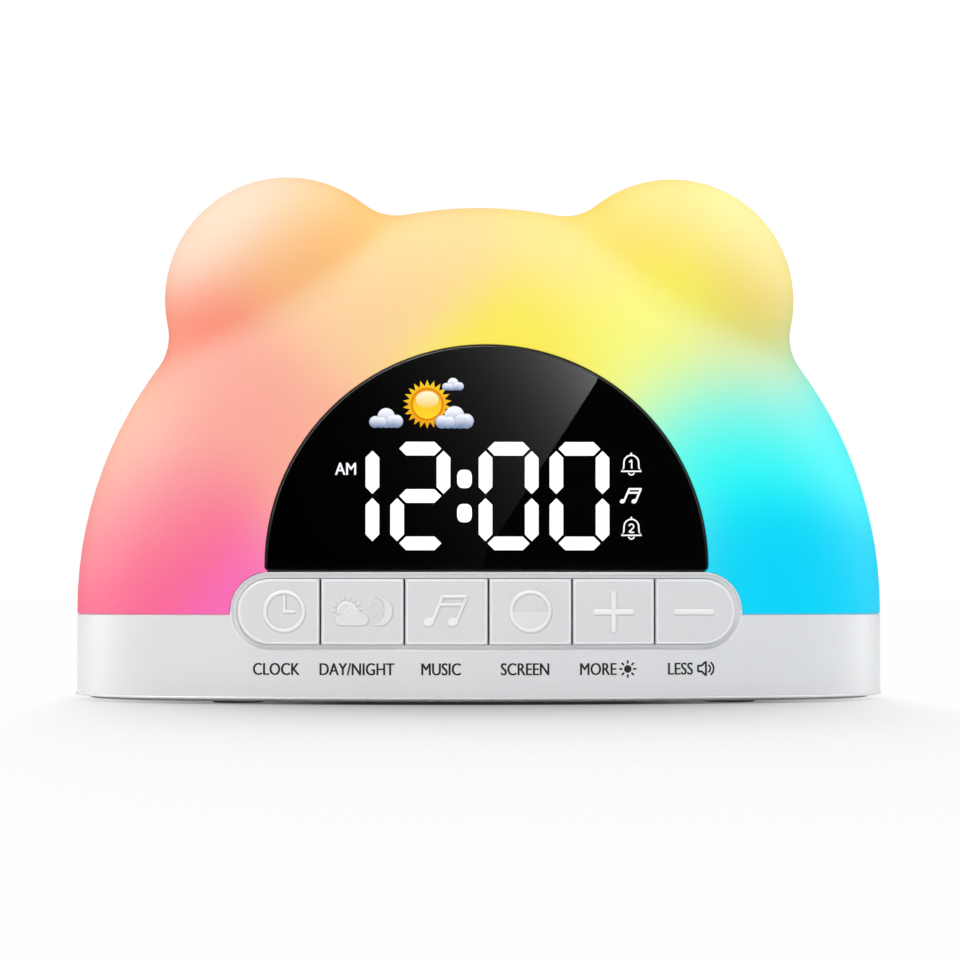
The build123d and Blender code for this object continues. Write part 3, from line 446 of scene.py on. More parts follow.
LAMP_POOLS = (
    # The pools left ear, right ear, left edge and right edge are paler than the light round them: painted
    # highlights on the ears' upper outer sides and along the dome's sides, over the lamp's own light.
    LampPool("left ear", linear(253, 224, 200), -56, 101),
    LampPool("left ear, foot", linear(253, 207, 161), -29, 84),
    LampPool("left crown", linear(253, 221, 152), -17, 89),
    LampPool("left shoulder", linear(253, 174, 157), -53, 63),
    LampPool("left edge", linear(253, 228, 188), -73, 48),
    LampPool("left side", linear(253, 91, 147), -67, 39),
    LampPool("left foot", linear(253, 112, 191), -35, 12),
    LampPool("over the lens", linear(253, 237, 85), 6, 60),
    LampPool("right crown", linear(254, 231, 146), 26, 94),
    LampPool("right ear", linear(255, 246, 173), 61, 94),
    LampPool("right ear, foot", linear(251, 219, 133), 54, 73),
    LampPool("right cheek", linear(255, 255, 124), 35, 72),
    LampPool("right shoulder", linear(0, 255, 253), 48, 54),
    LampPool("right edge", linear(92, 250, 255), 75, 61),
    LampPool("right foot", linear(0, 216, 253), 53, 23),
    LampPool("behind the lens, left", linear(253, 178, 152), -20, 36),
    LampPool("behind the lens, right", linear(150, 252, 205), 18, 36),
    LampPool("behind the keys, left", linear(254, 196, 150), -8, 18),
    LampPool("behind the keys, right", linear(130, 235, 215), 18, 12),
)


@dataclass(frozen=True)
class PaintedFoldShade:
    """Painted shade in the fold where an ear rises from the head, the same on both sides.

    With s the way out from the ear's middle along the line from the head's centre, t the way across it and
    d = s - t^2 / bow - peak, the power of the colour is 1 + strength * exp(-(d / width)^2). The width is the
    inner one towards the head, and the strength fades out between the distances near and far across. All
    lengths are millimetres.
    """

    head_z: float = 18.0
    ear_x: float = 38.4
    ear_z: float = 79.4
    bow: float = 240.0
    peak: float = 1.0
    inner_width: float = 3.6
    outer_width: float = 9.0
    near: float = 20.0
    far: float = 32.0
    strength: float = 0.45

    def axes(self) -> Array:
        """Gives the directions out along the ear and across it.

        Returns:
            The two directions, as rows.
        """
        out = np.array([self.ear_x, self.ear_z - self.head_z])
        out = out / np.hypot(*out)
        return np.array([out, [out[1], -out[0]]])

    def wire(self, wires: Wiring, seen: Feed) -> bpy.types.NodeSocket:
        """Adds nodes for the power.

        Args:
            wires: The group's nodes.
            seen: Place in metres, as seen from the front.

        Returns:
            The power.
        """
        ear = (self.ear_x * MM, 0.0, self.ear_z * MM)
        from_ear = wires.vector("SUBTRACT", wires.vector("ABSOLUTE", seen), ear)
        from_ear = wires.scale(from_ear, 1.0 / MM)
        out, across = (wires.vector("DOT_PRODUCT", from_ear, (axis[0], 0.0, axis[1]), result="Value")
                       for axis in self.axes().tolist())
        bowed = wires.math("DIVIDE", wires.math("MULTIPLY", across, across), self.bow)
        away = wires.math("SUBTRACT", wires.math("SUBTRACT", out, bowed), self.peak)
        outer = wires.math("DIVIDE", wires.math("MAXIMUM", away, 0.0), self.outer_width)
        inner = wires.math("DIVIDE", wires.math("MINIMUM", away, 0.0), self.inner_width)
        away = wires.math("ADD", outer, inner)
        bell = wires.math("POWER", math.e, wires.math("MULTIPLY", wires.math("MULTIPLY", away, away), -1.0))
        fade = wires.span(wires.math("ABSOLUTE", across), self.near, self.far, self.strength, 0.0)
        return wires.math("MULTIPLY_ADD", fade, bell, 1.0)


@dataclass(frozen=True)
class GlowingShade:
    """Finish of the lamp shade: satin translucent plastic with coloured light pooled inside it.

    The colour at a point is the mean of the pools' lights, each weighed by exp(-(distance / spread)^2) as
    seen from the front, in millimetres. As painted shade it is raised to a power, which deepens and darkens
    it, in the ears' folds and, where the shade turns away to its rim, by 1 + rim * (1 - y^2)^rim_shade_fall
    with y the normal's part along the clock's depth. Part of it is reflected and part shines through.
    """

    pools: Sequence[LampPool] = LAMP_POOLS
    fold_shade: PaintedFoldShade = PaintedFoldShade()
    spread: float = 14.4
    reflected: float = 0.28
    shining: float = 0.685
    # Painted shade: how much the colour deepens where the shade turns away to its rim.
    rim: float = 0.25
    rim_shade_fall: float = 8.0
    roughness: float = 0.6
    specular: float = 0.06
    grain: float = 0.45
    depth: float = 0.012

    def group(self) -> bpy.types.NodeTree:
        """Builds the node group that works out the colour of the light.

        Returns:
            A group with the outputs Light and Paint.
        """
        tree = bpy.data.node_groups.new("Pooled light", "ShaderNodeTree")
        for name in ("Light", "Paint"):
            tree.interface.new_socket(name=name, in_out="OUTPUT", socket_type="NodeSocketColor")
        wires = Wiring(tree)
        seen = wires.vector("MULTIPLY", wires.place(), (1.0, 0.0, 1.0))
        total: Feed = (0.0, 0.0, 0.0)
        weight: Feed = 0.0
        for pool in self.pools:
            away = wires.vector("SUBTRACT", seen, (pool.x * MM, 0.0, pool.z * MM))
            away = wires.scale(away, 1.0 / (self.spread * MM))
            square = wires.vector("DOT_PRODUCT", away, away, result="Value")
            share = wires.math("POWER", math.e, wires.math("MULTIPLY", square, -1.0))
            total = wires.vector("ADD", wires.scale(pool.light, share), total)
            weight = wires.math("ADD", share, weight)
        light = wires.scale(total, wires.math("DIVIDE", 1.0, weight))
        # Painted shade in the ears' folds: the colour is deepened and darkened there.
        light = wires.power(light, self.fold_shade.wire(wires, seen))
        result = wires.node("NodeGroupOutput").inputs
        wires.feed(result["Light"], light)
        wires.feed(result["Paint"], wires.scale(light, self.reflected))
        return tree

    def material(self) -> bpy.types.Material:
        """Builds the material.

        Returns:
            The new material.
        """
        made, wires, sockets = new_material("dome_plastic")
        glow = wires.node("ShaderNodeGroup", node_tree=self.group())
        effect = wires.node("ShaderNodeGroup", node_tree=SHOP.group(Pattern.GRAIN))
        wires.feed(effect.inputs["Roughness"], self.roughness)
        wires.feed(effect.inputs["Per Metre"], 1.0 / (self.grain * MM))
        # Painted shade: the colour deepens and darkens where the surface turns away from the front, towards the
        # rim.
        normal = wires.node("ShaderNodeTexCoord").outputs["Normal"]
        depth = wires.vector("DOT_PRODUCT", normal, (0.0, 1.0, 0.0), result="Value")
        rim_shade_mask = wires.math("SUBTRACT", 1.0, wires.math("MULTIPLY", depth, depth))
        power = wires.math("MULTIPLY_ADD", wires.math("POWER", rim_shade_mask, self.rim_shade_fall), self.rim, 1.0)
        for name, socket in (("Paint", "Base Color"), ("Light", "Emission Color")):
            wires.feed(sockets[socket], wires.power(glow.outputs[name], power))
        wires.feed(sockets["Roughness"], effect.outputs["Roughness"])
        wires.feed(sockets["Normal"], relief_normal(wires, effect.outputs["Height"], self.depth))
        wires.feed(sockets["Emission Strength"], self.shining)
        wires.feed(sockets["Specular IOR Level"], self.specular)
        return made


@dataclass(frozen=True)
class SmokedLens:
    """Finish of the display lens: polished, dark-tinted acrylic whose tint drifts a little."""

    tint: Colour = (0.16, 0.16, 0.168)
    drift: float = 0.94
    drift_waves: float = 60.0
    drift_layers: float = 3.0
    drift_ramp: Place = (0.35, 0.65)
    roughness: float = 0.012
    refraction: float = 1.49

    def material(self) -> bpy.types.Material:
        """Builds the material.

        Returns:
            The new material.
        """
        made, wires, sockets = new_material("smoked_lens")
        haze = wires.noise(wires.place(), self.drift_waves, self.drift_layers)
        haze = wires.span(haze, *self.drift_ramp, 0.0, 1.0)
        drifted = tuple(self.drift * part for part in self.tint)
        wires.feed(sockets["Base Color"], wires.blend(haze, (*self.tint, 1.0), (*drifted, 1.0)))
        wires.feed(sockets["Roughness"], self.roughness)
        wires.feed(sockets["Transmission Weight"], 1.0)
        wires.feed(sockets["IOR"], self.refraction)
        return made


@dataclass(frozen=True)
class LitFilm:
    """Finish of what is lit behind the lens: a light that runs between two tones over the piece.

    The piece's point attribute "tone" says where each point stands between them, and a fine noise unsettles it.
    """

    name: str
    low: Colour
    high: Colour
    strength: float
    body: float = 0.05
    roughness: float = 0.6
    noise_waves: float = 900.0
    noise_span: Sequence[float] = (0.3, 0.7, -0.04, 0.04)

    def material(self) -> bpy.types.Material:
        """Builds the material.

        Returns:
            The new material.
        """
        made, wires, sockets = new_material(self.name)
        tone = wires.node("ShaderNodeAttribute", attribute_name="tone").outputs["Fac"]
        cloud = wires.span(wires.noise(wires.place(), self.noise_waves), *self.noise_span)
        light = wires.blend(wires.math("ADD", tone, cloud), (*self.low, 1.0), (*self.high, 1.0))
        wires.feed(sockets["Emission Color"], light)
        wires.feed(sockets["Base Color"], wires.scale(light, self.body))
        wires.feed(sockets["Emission Strength"], self.strength)
        wires.feed(sockets["Roughness"], self.roughness)
        return made


def brushed(name: str, colour: Colour, second: Colour, roughness: float, grain: float) -> Finish:
    """Gives a brushed metal finish."""
    return Finish(name, colour, second, roughness, Pattern.BRUSHED, grain, metallic=1.0)


WHITE_MOULDING = Finish("base_plastic", (0.735, 0.74, 0.755), (0.715, 0.72, 0.74), 0.38, grain=0.35,
                        depth=0.006)
KEY_MOULDING = Finish("key_plastic", (0.71, 0.714, 0.73), (0.696, 0.70, 0.717), 0.36, grain=0.3, depth=0.005,
                      specular=0.4)
# Lighter copies of the key plastic as painted highlight: the line one on the emblems' raised lines, the keys'
# edge bands and the tray's rim, the fill one on the emblems' filled shapes.
PAINTED_HIGHLIGHT_LINE = Finish("emblem_line", (0.86, 0.862, 0.87), (0.84, 0.842, 0.852), 0.34, grain=0.3, depth=0.004,
                     specular=0.45)
PAINTED_HIGHLIGHT_FILL = Finish("emblem_fill", (0.77, 0.772, 0.782), (0.75, 0.752, 0.764), 0.36, grain=0.3, depth=0.004,
                     specular=0.4)
# Darker copy of the key plastic: painted shadow at the foot of each emblem, shifted down to the right.
PAINTED_SHADOW_FOOT = Finish("emblem_foot", (0.56, 0.563, 0.575), (0.54, 0.543, 0.555), 0.5, grain=0.3, depth=0.004,
                     specular=0.2)
BLACK_MOULDING = Finish("black_plastic", (0.006, 0.006, 0.0065), (0.009, 0.009, 0.0095), 0.75, grain=0.3,
                        depth=0.02, specular=0.1)
DARK_FILM = Finish("indicator_film", (0.006, 0.006, 0.007), (0.009, 0.009, 0.010), 0.6, grain=0.2,
                   depth=0.004, specular=0.15)
LENS_EDGE = Finish("lens_edge", (0.008, 0.008, 0.0085), (0.012, 0.012, 0.0125), 0.1, grain=0.4, depth=0.001)
LABEL_INK = Finish("label_ink", (0.012, 0.012, 0.013), (0.02, 0.02, 0.021), 0.55, grain=0.12, depth=0.004,
                   specular=0.3)
INNER_FINISHES = {finish.name: finish for finish in (
    Finish("foot_rubber", (0.48, 0.48, 0.49), (0.44, 0.44, 0.45), 0.8, grain=0.25, depth=0.02, specular=0.25),
    brushed("screw_steel", (0.55, 0.55, 0.56), (0.42, 0.42, 0.43), 0.32, 0.15),
    Finish("circuit_board", (0.02, 0.16, 0.06), (0.035, 0.26, 0.10), 0.35, Pattern.TRACES, 4.0, 0.03, coat=0.3),
    Finish("white_board", (0.78, 0.78, 0.76), (0.70, 0.71, 0.70), 0.4, Pattern.TRACES, 5.0, 0.03, coat=0.2),
    Finish("led_package", (0.85, 0.80, 0.62), (0.92, 0.88, 0.74), 0.2, grain=0.6, coat=0.6),
    Finish("keypad_silicone", (0.52, 0.53, 0.55), (0.47, 0.48, 0.50), 0.75, grain=0.2, depth=0.015,
           specular=0.3),
    Finish("carbon_rubber", (0.02, 0.02, 0.02), (0.035, 0.035, 0.035), 0.85, grain=0.12),
    Finish("chip_epoxy", (0.025, 0.025, 0.028), (0.04, 0.04, 0.043), 0.6, grain=0.15, depth=0.015),
    brushed("capacitor_can", (0.74, 0.75, 0.77), (0.62, 0.63, 0.65), 0.28, 0.12),
    brushed("cell_steel", (0.70, 0.70, 0.70), (0.58, 0.58, 0.58), 0.3, 0.1),
    brushed("inlet_steel", (0.62, 0.63, 0.65), (0.50, 0.51, 0.53), 0.3, 0.12),
    Finish("gasket_foam", (0.03, 0.03, 0.03), (0.008, 0.008, 0.008), 0.95, Pattern.CELLS, 0.5, 0.15,
           specular=0.1),
    Finish("speaker_steel", (0.06, 0.06, 0.065), (0.045, 0.045, 0.05), 0.45, grain=0.3, metallic=0.6),
    Finish("speaker_paper", (0.035, 0.035, 0.036), (0.055, 0.055, 0.056), 0.9, Pattern.CELLS, 0.8, 0.05,
           specular=0.1),
    Finish("magnet_ferrite", (0.06, 0.06, 0.065), (0.09, 0.09, 0.095), 0.55, grain=0.4, depth=0.02),
    Finish("ribbon_film", (0.80, 0.80, 0.78), (0.50, 0.50, 0.50), 0.4, Pattern.WIRES, 1.0, 0.03, coat=0.3),
)}


@dataclass(frozen=True)
class FrontForm:
    """The clock's bowed front: a ball behind the dome, lens and keys, and an upright wall on the base."""

    radius: float
    centre_y: float
    centre_z: float

    @classmethod
    def from_frame(cls, edge_radius: float = 30.0, head_lift: float = 0.9) -> "FrontForm":
        """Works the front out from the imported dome, whose box gives the body's half width and half depth.

        Args:
            edge_radius: Radius of the body's round ends, seen from above.
            head_lift: Height of the dome's centre over the seam.

        Returns:
            The front.
        """
        low, high = (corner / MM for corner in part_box("light_dome"))
        run = (high.x - edge_radius) ** 2 + high.y**2 - edge_radius**2
        radius = run / (2 * (high.y - edge_radius))
        return cls(radius, radius - high.y, low.z + head_lift)

    def on_ball(self, proud: float) -> Carrier:
        """Makes a carrier that lays flat shapes on the dome's front, grown outwards.

        Args:
            proud: How far the carrying surface stands proud of the dome's front.

        Returns:
            A function from (across, up, height) to places in metres.
        """
        def place(flat: Array) -> Array:
            """Lays points on the ball: y = centre - sqrt(radius^2 - x^2 - (z - centre)^2) - height.

            Args:
                flat: Rows of (across, up, height).

            Returns:
                Their places.
            """
            across, up, height = flat.T
            reach = np.sqrt((self.radius + proud) ** 2 - across**2 - (up - self.centre_z) ** 2)
            return np.column_stack([across, self.centre_y - reach - height, up]) * MM
        return place

    def on_wall(self) -> Carrier:
        """Makes a carrier that lays flat shapes on the base's upright front wall.

        Returns:
            A function from (across, up, height) to places in metres.
        """
        def place(flat: Array) -> Array:
            """Lays points on the wall: y = centre - sqrt(radius^2 - x^2) - height.

            Args:
                flat: Rows of (across, up, height).

            Returns:
                Their places.
            """
            across, up, height = flat.T
            reach = np.sqrt(self.radius**2 - across**2)
            return np.column_stack([across, self.centre_y - reach - height, up]) * MM
        return place


def on_plane(y: float) -> Carrier:
    """Makes a carrier that lays flat shapes on an upright plane.

    Args:
        y: Where the plane stands, in millimetres.

    Returns:
        A function from (across, up, height) to places in metres.
    """
    def place(flat: Array) -> Array:
        """Lays points on the plane, each height towards the front."""
        across, up, height = flat.T
        return np.column_stack([across, y - height, up]) * MM
    return place


@dataclass(frozen=True)
class Relief:
    """How a flat shape stands out: its height, how deep its foot is sunk, and how rounded its shoulder is."""

    height: float
    sink: float
    shoulder: float = 0.3
    shoulder_start = 0.3
    shoulder_rise = (0.5, 0.85, 1.0, 1.0)

    def section(self, steps: int = 9) -> tuple[Array, Array]:
        """Gives the closed section of a band: over its foot, height * sin(angle)^shoulder at -cos(angle).

        Args:
            steps: Number of points over the top.

        Returns:
            Shares of the way across, from 0 to 1, and the heights there.
        """
        angle = np.linspace(0.0, math.pi, steps)
        across = np.concatenate([[0.0], 0.5 - 0.5 * np.cos(angle), [1.0]])
        rise = np.sin(angle).round(9) ** self.shoulder
        height = np.concatenate([[-self.sink], self.height * rise, [-self.sink]])
        return across, height

    def profile(self) -> tuple[Array, Array]:
        """Gives the section of a filled shape, from the middle of its foot to the middle of its top.

        Returns:
            Shares of the way out, from 0 to 1, and the heights there.
        """
        start = 1 - self.shoulder_start * self.shoulder
        outwards = np.array([0.0, 1.0, 1.0, start, 1 - self.shoulder, 0.0])
        rise = np.array(self.shoulder_rise) * self.height
        return outwards, np.concatenate([[-self.sink, -self.sink], rise])


def circle(radius: float, start: float = 0.0, stop: float = 360.0, steps: int = 64) -> Array:
    """Gives points on an arc: radius times (cos angle, sin angle).

    Args:
        radius: The arc's radius.
        start: First angle in degrees.
        stop: Last angle in degrees, left out on a full circle.
        steps: Number of points.

    Returns:
        The points.
    """
    whole = math.isclose(abs(stop - start), 360.0)
    angle = np.radians(np.linspace(start, stop, steps, endpoint=not whole))
    return radius * np.column_stack([np.cos(angle), np.sin(angle)])


def line(start: Sequence[float], stop: Sequence[float], steps: int = 5) -> Array:
    """Gives evenly spaced points on a straight line.

    Args:
        start: First point.
        stop: Last point.
        steps: Number of points.

    Returns:
        The points.
    """
    share = np.linspace(0.0, 1.0, steps)[:, None]
    return np.asarray(start) * (1 - share) + np.asarray(stop) * share


def turned(points: Array, degrees: float) -> Array:
    """Turns points about the origin.

    Args:
        points: The points.
        degrees: The angle, counter-clockwise.

    Returns:
        The turned points.
    """
    angle = math.radians(degrees)
    turn = np.array([[math.cos(angle), math.sin(angle)], [-math.sin(angle), math.cos(angle)]])
    return points @ turn


def ray_outline(reach: Callable[[Array], Array], steps: int = 96) -> Array:
    """Gives the outline of a shape that is seen whole from its middle: reach(angle) in each direction.

    Args:
        reach: Distance to the outline, for an array of angles in radians.
        steps: Number of points.

    Returns:
        The outline.
    """
    angle = np.linspace(0.0, 2 * math.pi, steps, endpoint=False)
    return reach(angle)[:, None] * np.column_stack([np.cos(angle), np.sin(angle)])


def cloud_outline(width: float, foot: float = -0.21, level: float = 0.05) -> Array:
    """Gives a cloud: a row of puffs, cut off at a flat foot.

    In each direction the outline is the farthest crossing with a puff's circle,
    b + sqrt(b^2 - c) with b the puff's centre along the ray and c = |centre|^2 - radius^2, cut at the foot.

    Args:
        width: The cloud's width.
        foot: Height of the foot, as a share of the width.
        level: Slope down to which a ray counts as level, and isn't cut.

    Returns:
        The outline, about a point inside the cloud.
    """
    puffs = np.array([[-0.32, -0.06, 0.17], [-0.16, -0.06, 0.17], [0.0, -0.06, 0.17], [0.16, -0.06, 0.17],
                      [0.30, -0.04, 0.19], [0.0, 0.09, 0.25]]) * width

    def reach(angle: Array) -> Array:
        """Finds the farthest crossing in each direction.

        Args:
            angle: The directions, in radians.

        Returns:
            The distances.
        """
        ray = np.column_stack([np.cos(angle), np.sin(angle)])
        along = ray @ puffs[:, :2].T
        inside = (puffs[:, :2] ** 2).sum(1) - puffs[:, 2] ** 2
        root = np.sqrt(np.maximum(along**2 - inside, 0.0))
        far = np.where(along**2 >= inside, along + root, 0.0).max(1)
        down = np.where(ray[:, 1] < -level, foot * width / np.minimum(ray[:, 1], -level), np.inf)
        return np.minimum(far, down)
    return ray_outline(reach, 128)


def star_outline(radius: float, points: int = 4, waist: float = 0.38) -> Array:
    """Gives a small star with the given number of points.

    Args:
        radius: Reach of the points.
        points: Number of points.
        waist: Reach between the points, as a share of the radius.

    Returns:
        The outline.
    """
    corner = np.arange(2 * points)
    reach = radius * np.where(corner % 2 == 0, 1.0, waist)
    angle = math.pi * corner / points + math.pi / 2
    return reach[:, None] * np.column_stack([np.cos(angle), np.sin(angle)])


def ramp(middle: float, slope: float, reach: float, top: float = 1.0) -> Tone:
    """Gives a tone that changes with height: middle + slope * z / reach, kept between 0 and the top.

    Args:
        middle: Tone at the middle.
        slope: Change from the middle to the reach.
        reach: Height of that change.
        top: Highest tone.

    Returns:
        A function from places to tones.
    """
    return lambda spot: np.clip(middle + slope * spot[:, 1] / reach, 0.0, top)


class Patchwork:
    """Collects raised bands, filled shapes and letters, and makes one closed mesh of them.

    While foot is more than 0, a shape is added as its painted shadow: that much wider, low, shifted a little
    down to the right, and in the slot for painted shadows.
    """

    cap_steps = 7
    shortest = 1e-6
    strikes = ((-0.5, 1.0), (0.5, 0.9))
    painted_shadow_relief = Relief(height=0.03, sink=0.1, shoulder=0.1)
    painted_shadow_shift = np.array([0.2, -0.3])
    painted_shadow_slot = 2

    def __init__(self) -> None:
        """Starts empty."""
        # Width added for the painted shadow drawn under each shape; 0 draws the shape itself.
        self.foot = 0.0
        self.points: list[Array] = []
        self.faces: list[list[int]] = []
        self.slots: list[Array] = []
        self.tones: list[Array] = []
        self.count = 0

    def add(self, points: Array, faces: Array, slot: int, tone: Array) -> None:
        """Adds a piece of mesh.

        Args:
            points: Places as (across, up, height).
            faces: Point numbers of each face.
            slot: Material slot of the faces.
            tone: Tone of each point.
        """
        self.points.append(points)
        self.faces += [[int(corner) + self.count for corner in face] for face in faces]
        self.slots.append(np.full(len(faces), slot, np.int32))
        self.tones.append(tone)
        self.count += len(points)

    def grid(self, grid: Array, ring: bool, slot: int, tone: Array) -> None:
        """Adds a grid whose columns close on themselves.

        Args:
            grid: Places, as rows by columns by 3.
            ring: Whether the rows close too.
            slot: Material slot of the faces.
            tone: Tone of each place.
        """
        rows, columns = grid.shape[:2]
        row, column = np.meshgrid(np.arange(rows if ring else rows - 1), np.arange(columns), indexing="ij")
        below, beside = (row + 1) % rows, (column + 1) % columns
        corners = [row * columns + column, row * columns + beside,
                   below * columns + beside, below * columns + column]
        tones = np.broadcast_to(tone, (rows, columns)).reshape(-1)
        self.add(grid.reshape(-1, 3), np.stack(corners, -1).reshape(-1, 4), slot, tones)

    def band(self, left: Array, right: Array, relief: Relief, ring: bool = False, slot: int = 0) -> None:
        """Adds a raised band: (1 - share) * left + share * right, over the relief's section.

        Args:
            left: Points on one side.
            right: As many points on the other side.
            relief: How it stands out.
            ring: Whether the band closes on itself.
            slot: Material slot.
        """
        # Painted shadow: the band drawn wider, low, shifted down to the right, in the shadow slot.
        if self.foot:
            across = left - right
            length = np.maximum(np.linalg.norm(across, axis=1, keepdims=True), self.shortest)
            wider = across / length * self.foot / 2
            shift = self.foot * self.painted_shadow_shift
            left, right = left + wider + shift, right - wider + shift
            relief, slot = self.painted_shadow_relief, self.painted_shadow_slot
        share, height = relief.section()
        flat = left[:, None, :] * (1 - share)[None, :, None] + right[:, None, :] * share[None, :, None]
        rise = np.broadcast_to(height, flat.shape[:2])
        self.grid(np.dstack([flat, rise]), ring, slot, np.ones(1))

    def stroke(self, path: Array, width: float, relief: Relief, ring: bool = False, slot: int = 0,
               cap: float = 1.0) -> None:
        """Adds a raised line of even width: path plus and minus half the width along its normal.

        An open line gets caps: past each end the half width falls to nothing as sin(angle)^cap.

        Args:
            path: Points along the line.
            width: Width of the line.
            relief: How it stands out.
            ring: Whether the line closes on itself.
            slot: Material slot.
            cap: Roundness of the ends, from nearly 0 for square to 1 for round.
        """
        ahead = np.roll(path, -1, 0) - np.roll(path, 1, 0) if ring else np.gradient(path, axis=0)
        ahead = ahead / np.linalg.norm(ahead, axis=1, keepdims=True)
        half = np.full((len(path), 1), width / 2)
        if not ring:
            ends = (self.cap_steps, 1)
            angle = np.linspace(0.0, math.pi / 2, self.cap_steps, endpoint=False)[:, None]
            reach, taper = cap * width / 2 * np.cos(angle), width / 2 * np.sin(angle) ** cap
            path = np.vstack([path[0] - ahead[0] * reach, path, path[-1] + ahead[-1] * reach[::-1]])
            ahead = np.vstack([np.tile(ahead[0], ends), ahead, np.tile(ahead[-1], ends)])
            half = np.vstack([taper, half, taper[::-1]])
        side = np.column_stack([-ahead[:, 1], ahead[:, 0]]) * half
        self.band(path + side, path - side, relief, ring, slot)

    def patch(self, outline: Array, relief: Relief, centre: Sequence[float] = (0.0, 0.0), slot: int = 0,
              tone: Tone = ramp(1.0, 0.0, 1.0)) -> None:
        """Adds a filled shape: centre + share * outline, over the relief's profile.

        Args:
            outline: Outline about the centre.
            relief: How it stands out.
            centre: Where it is.
            slot: Material slot.
            tone: Tone of points given about the centre.
        """
        # Painted shadow: the shape drawn wider, low, shifted down to the right, in the shadow slot.
        if self.foot:
            outline = outline * (1.0 + self.foot / 2 / np.abs(outline).max(0))
            centre = np.asarray(centre) + self.foot * self.painted_shadow_shift
            relief, slot = self.painted_shadow_relief, self.painted_shadow_slot
        share, height = relief.profile()
        flat = share[:, None, None] * outline[None]
        rise = np.broadcast_to(height[:, None], flat.shape[:2])
        shade = tone(flat.reshape(-1, 2)).reshape(flat.shape[:2])
        self.grid(np.dstack([flat + np.asarray(centre), rise]), False, slot, shade)

    def letters(self, text: str, cap_height: float, thickness: float, centre: Sequence[float],
                squeeze: float = 0.8, weight: float = 0.14) -> float:
        """Adds a line of text, centred on a point and struck twice, a little apart, to make it bolder.

        Args:
            text: What it says.
            cap_height: Height of its capitals.
            thickness: How far it stands out.
            centre: Middle of the line.
            squeeze: Width of the letters, as a share of the font's own.
            weight: How far apart it is struck.

        Returns:
            The line's width.
        """
        points, faces = text_mesh(text)
        points = points - np.append(points[:, :2].min(0), 0.0)
        size = cap_height / points[:, 1].max()
        points[:, :2] *= (size * squeeze, size)
        width = points[:, 0].max()
        points[:, :2] += np.asarray(centre) - np.array([width, cap_height]) / 2
        for side, share in self.strikes:
            struck = points + np.array([side * weight, 0.0, 0.0])
            struck[:, 2] = np.where(points[:, 2] > 0, share * thickness, 0.0)
            self.add(struck, faces, 0, np.ones(len(points)))
        return float(width)

    def make(self, name: str, carrier: Carrier, materials: Sequence[bpy.types.Material],
             body: str = CLOCK_BODY) -> bpy.types.Object:
        """Makes the object, on what carries it.

        Args:
            name: The piece's name.
            carrier: Lays flat places on the carrying surface.
            materials: One material for each slot.
            body: CAD body that it rides on.

        Returns:
            The new object.
        """
        mesh = bpy.data.meshes.new(name)
        mesh.from_pydata(carrier(np.vstack(self.points)), [], self.faces)
        for material in materials:
            mesh.materials.append(material)
        mesh.polygons.foreach_set("material_index", np.concatenate(self.slots))
        mesh.attributes.new("tone", "FLOAT", "POINT").data.foreach_set(
            "value", np.concatenate(self.tones).astype(np.float32))
        close_mesh(mesh)
        piece = add_object(name, mesh)
        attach(piece, body)
        LOG.info("%s: %d faces on %s", name, len(mesh.polygons), body)
        return piece


def add_object(name: str, data: bpy.types.ID) -> bpy.types.Object:
    """Adds an object to the scene, at the origin.

    Args:
        name: The object's name.
        data: Its mesh, light or camera.

    Returns:
        The new object.
    """
    made = bpy.data.objects.new(name, data)
    bpy.context.scene.collection.objects.link(made)
    return made


def text_mesh(text: str, thickness: float = 0.1, resolution: int = 4) -> tuple[Array, list[list[int]]]:
    """Makes flat letters with a little thickness, as plain arrays.

    Args:
        text: What they say.
        thickness: Half their thickness, in the font's own units.
        resolution: Number of points on each curve.

    Returns:
        Their points and faces.
    """
    curve = bpy.data.curves.new("letters", "FONT")
    curve.body = text
    curve.extrude = thickness
    curve.resolution_u = resolution
    holder = bpy.data.objects.new("letters", curve)
    mesh = holder.to_mesh()
    points = np.zeros(len(mesh.vertices) * 3, np.float32)
    mesh.vertices.foreach_get("co", points)
    faces = [list(face.vertices) for face in mesh.polygons]
    holder.to_mesh_clear()
    bpy.data.objects.remove(holder)
    bpy.data.curves.remove(curve)
    return points.reshape(-1, 3).astype(float), faces


def close_mesh(mesh: bpy.types.Mesh, crease: float = 35.0) -> None:
    """Merges doubled points, turns faces outwards and smooths all but the creases.

    Args:
        mesh: The mesh.
        crease: Angle in degrees over which an edge stays sharp.
    """
    work = bmesh.new()
    work.from_mesh(mesh)
    bmesh.ops.remove_doubles(work, verts=work.verts, dist=MERGE_DISTANCE)
    bmesh.ops.dissolve_degenerate(work, edges=work.edges, dist=SLIVER_LENGTH)
    bmesh.ops.recalc_face_normals(work, faces=work.faces)
    work.to_mesh(mesh)
    work.free()
    mesh.polygons.foreach_set("use_smooth", np.ones(len(mesh.polygons), bool))
    mesh.set_sharp_from_angle(angle=math.radians(crease))
    mesh.update()


def dress(nodes: dict[str, bpy.types.Object], names: Sequence[str], material: bpy.types.Material) -> None:
    """Gives CAD nodes a finish.

    Args:
        nodes: All CAD nodes.
        names: Which ones.
        material: The finish.
    """
    for name in names:
        for slot in nodes[name].material_slots:
            slot.material = material
        LOG.info("%s: dressed in %s", name, material.name)


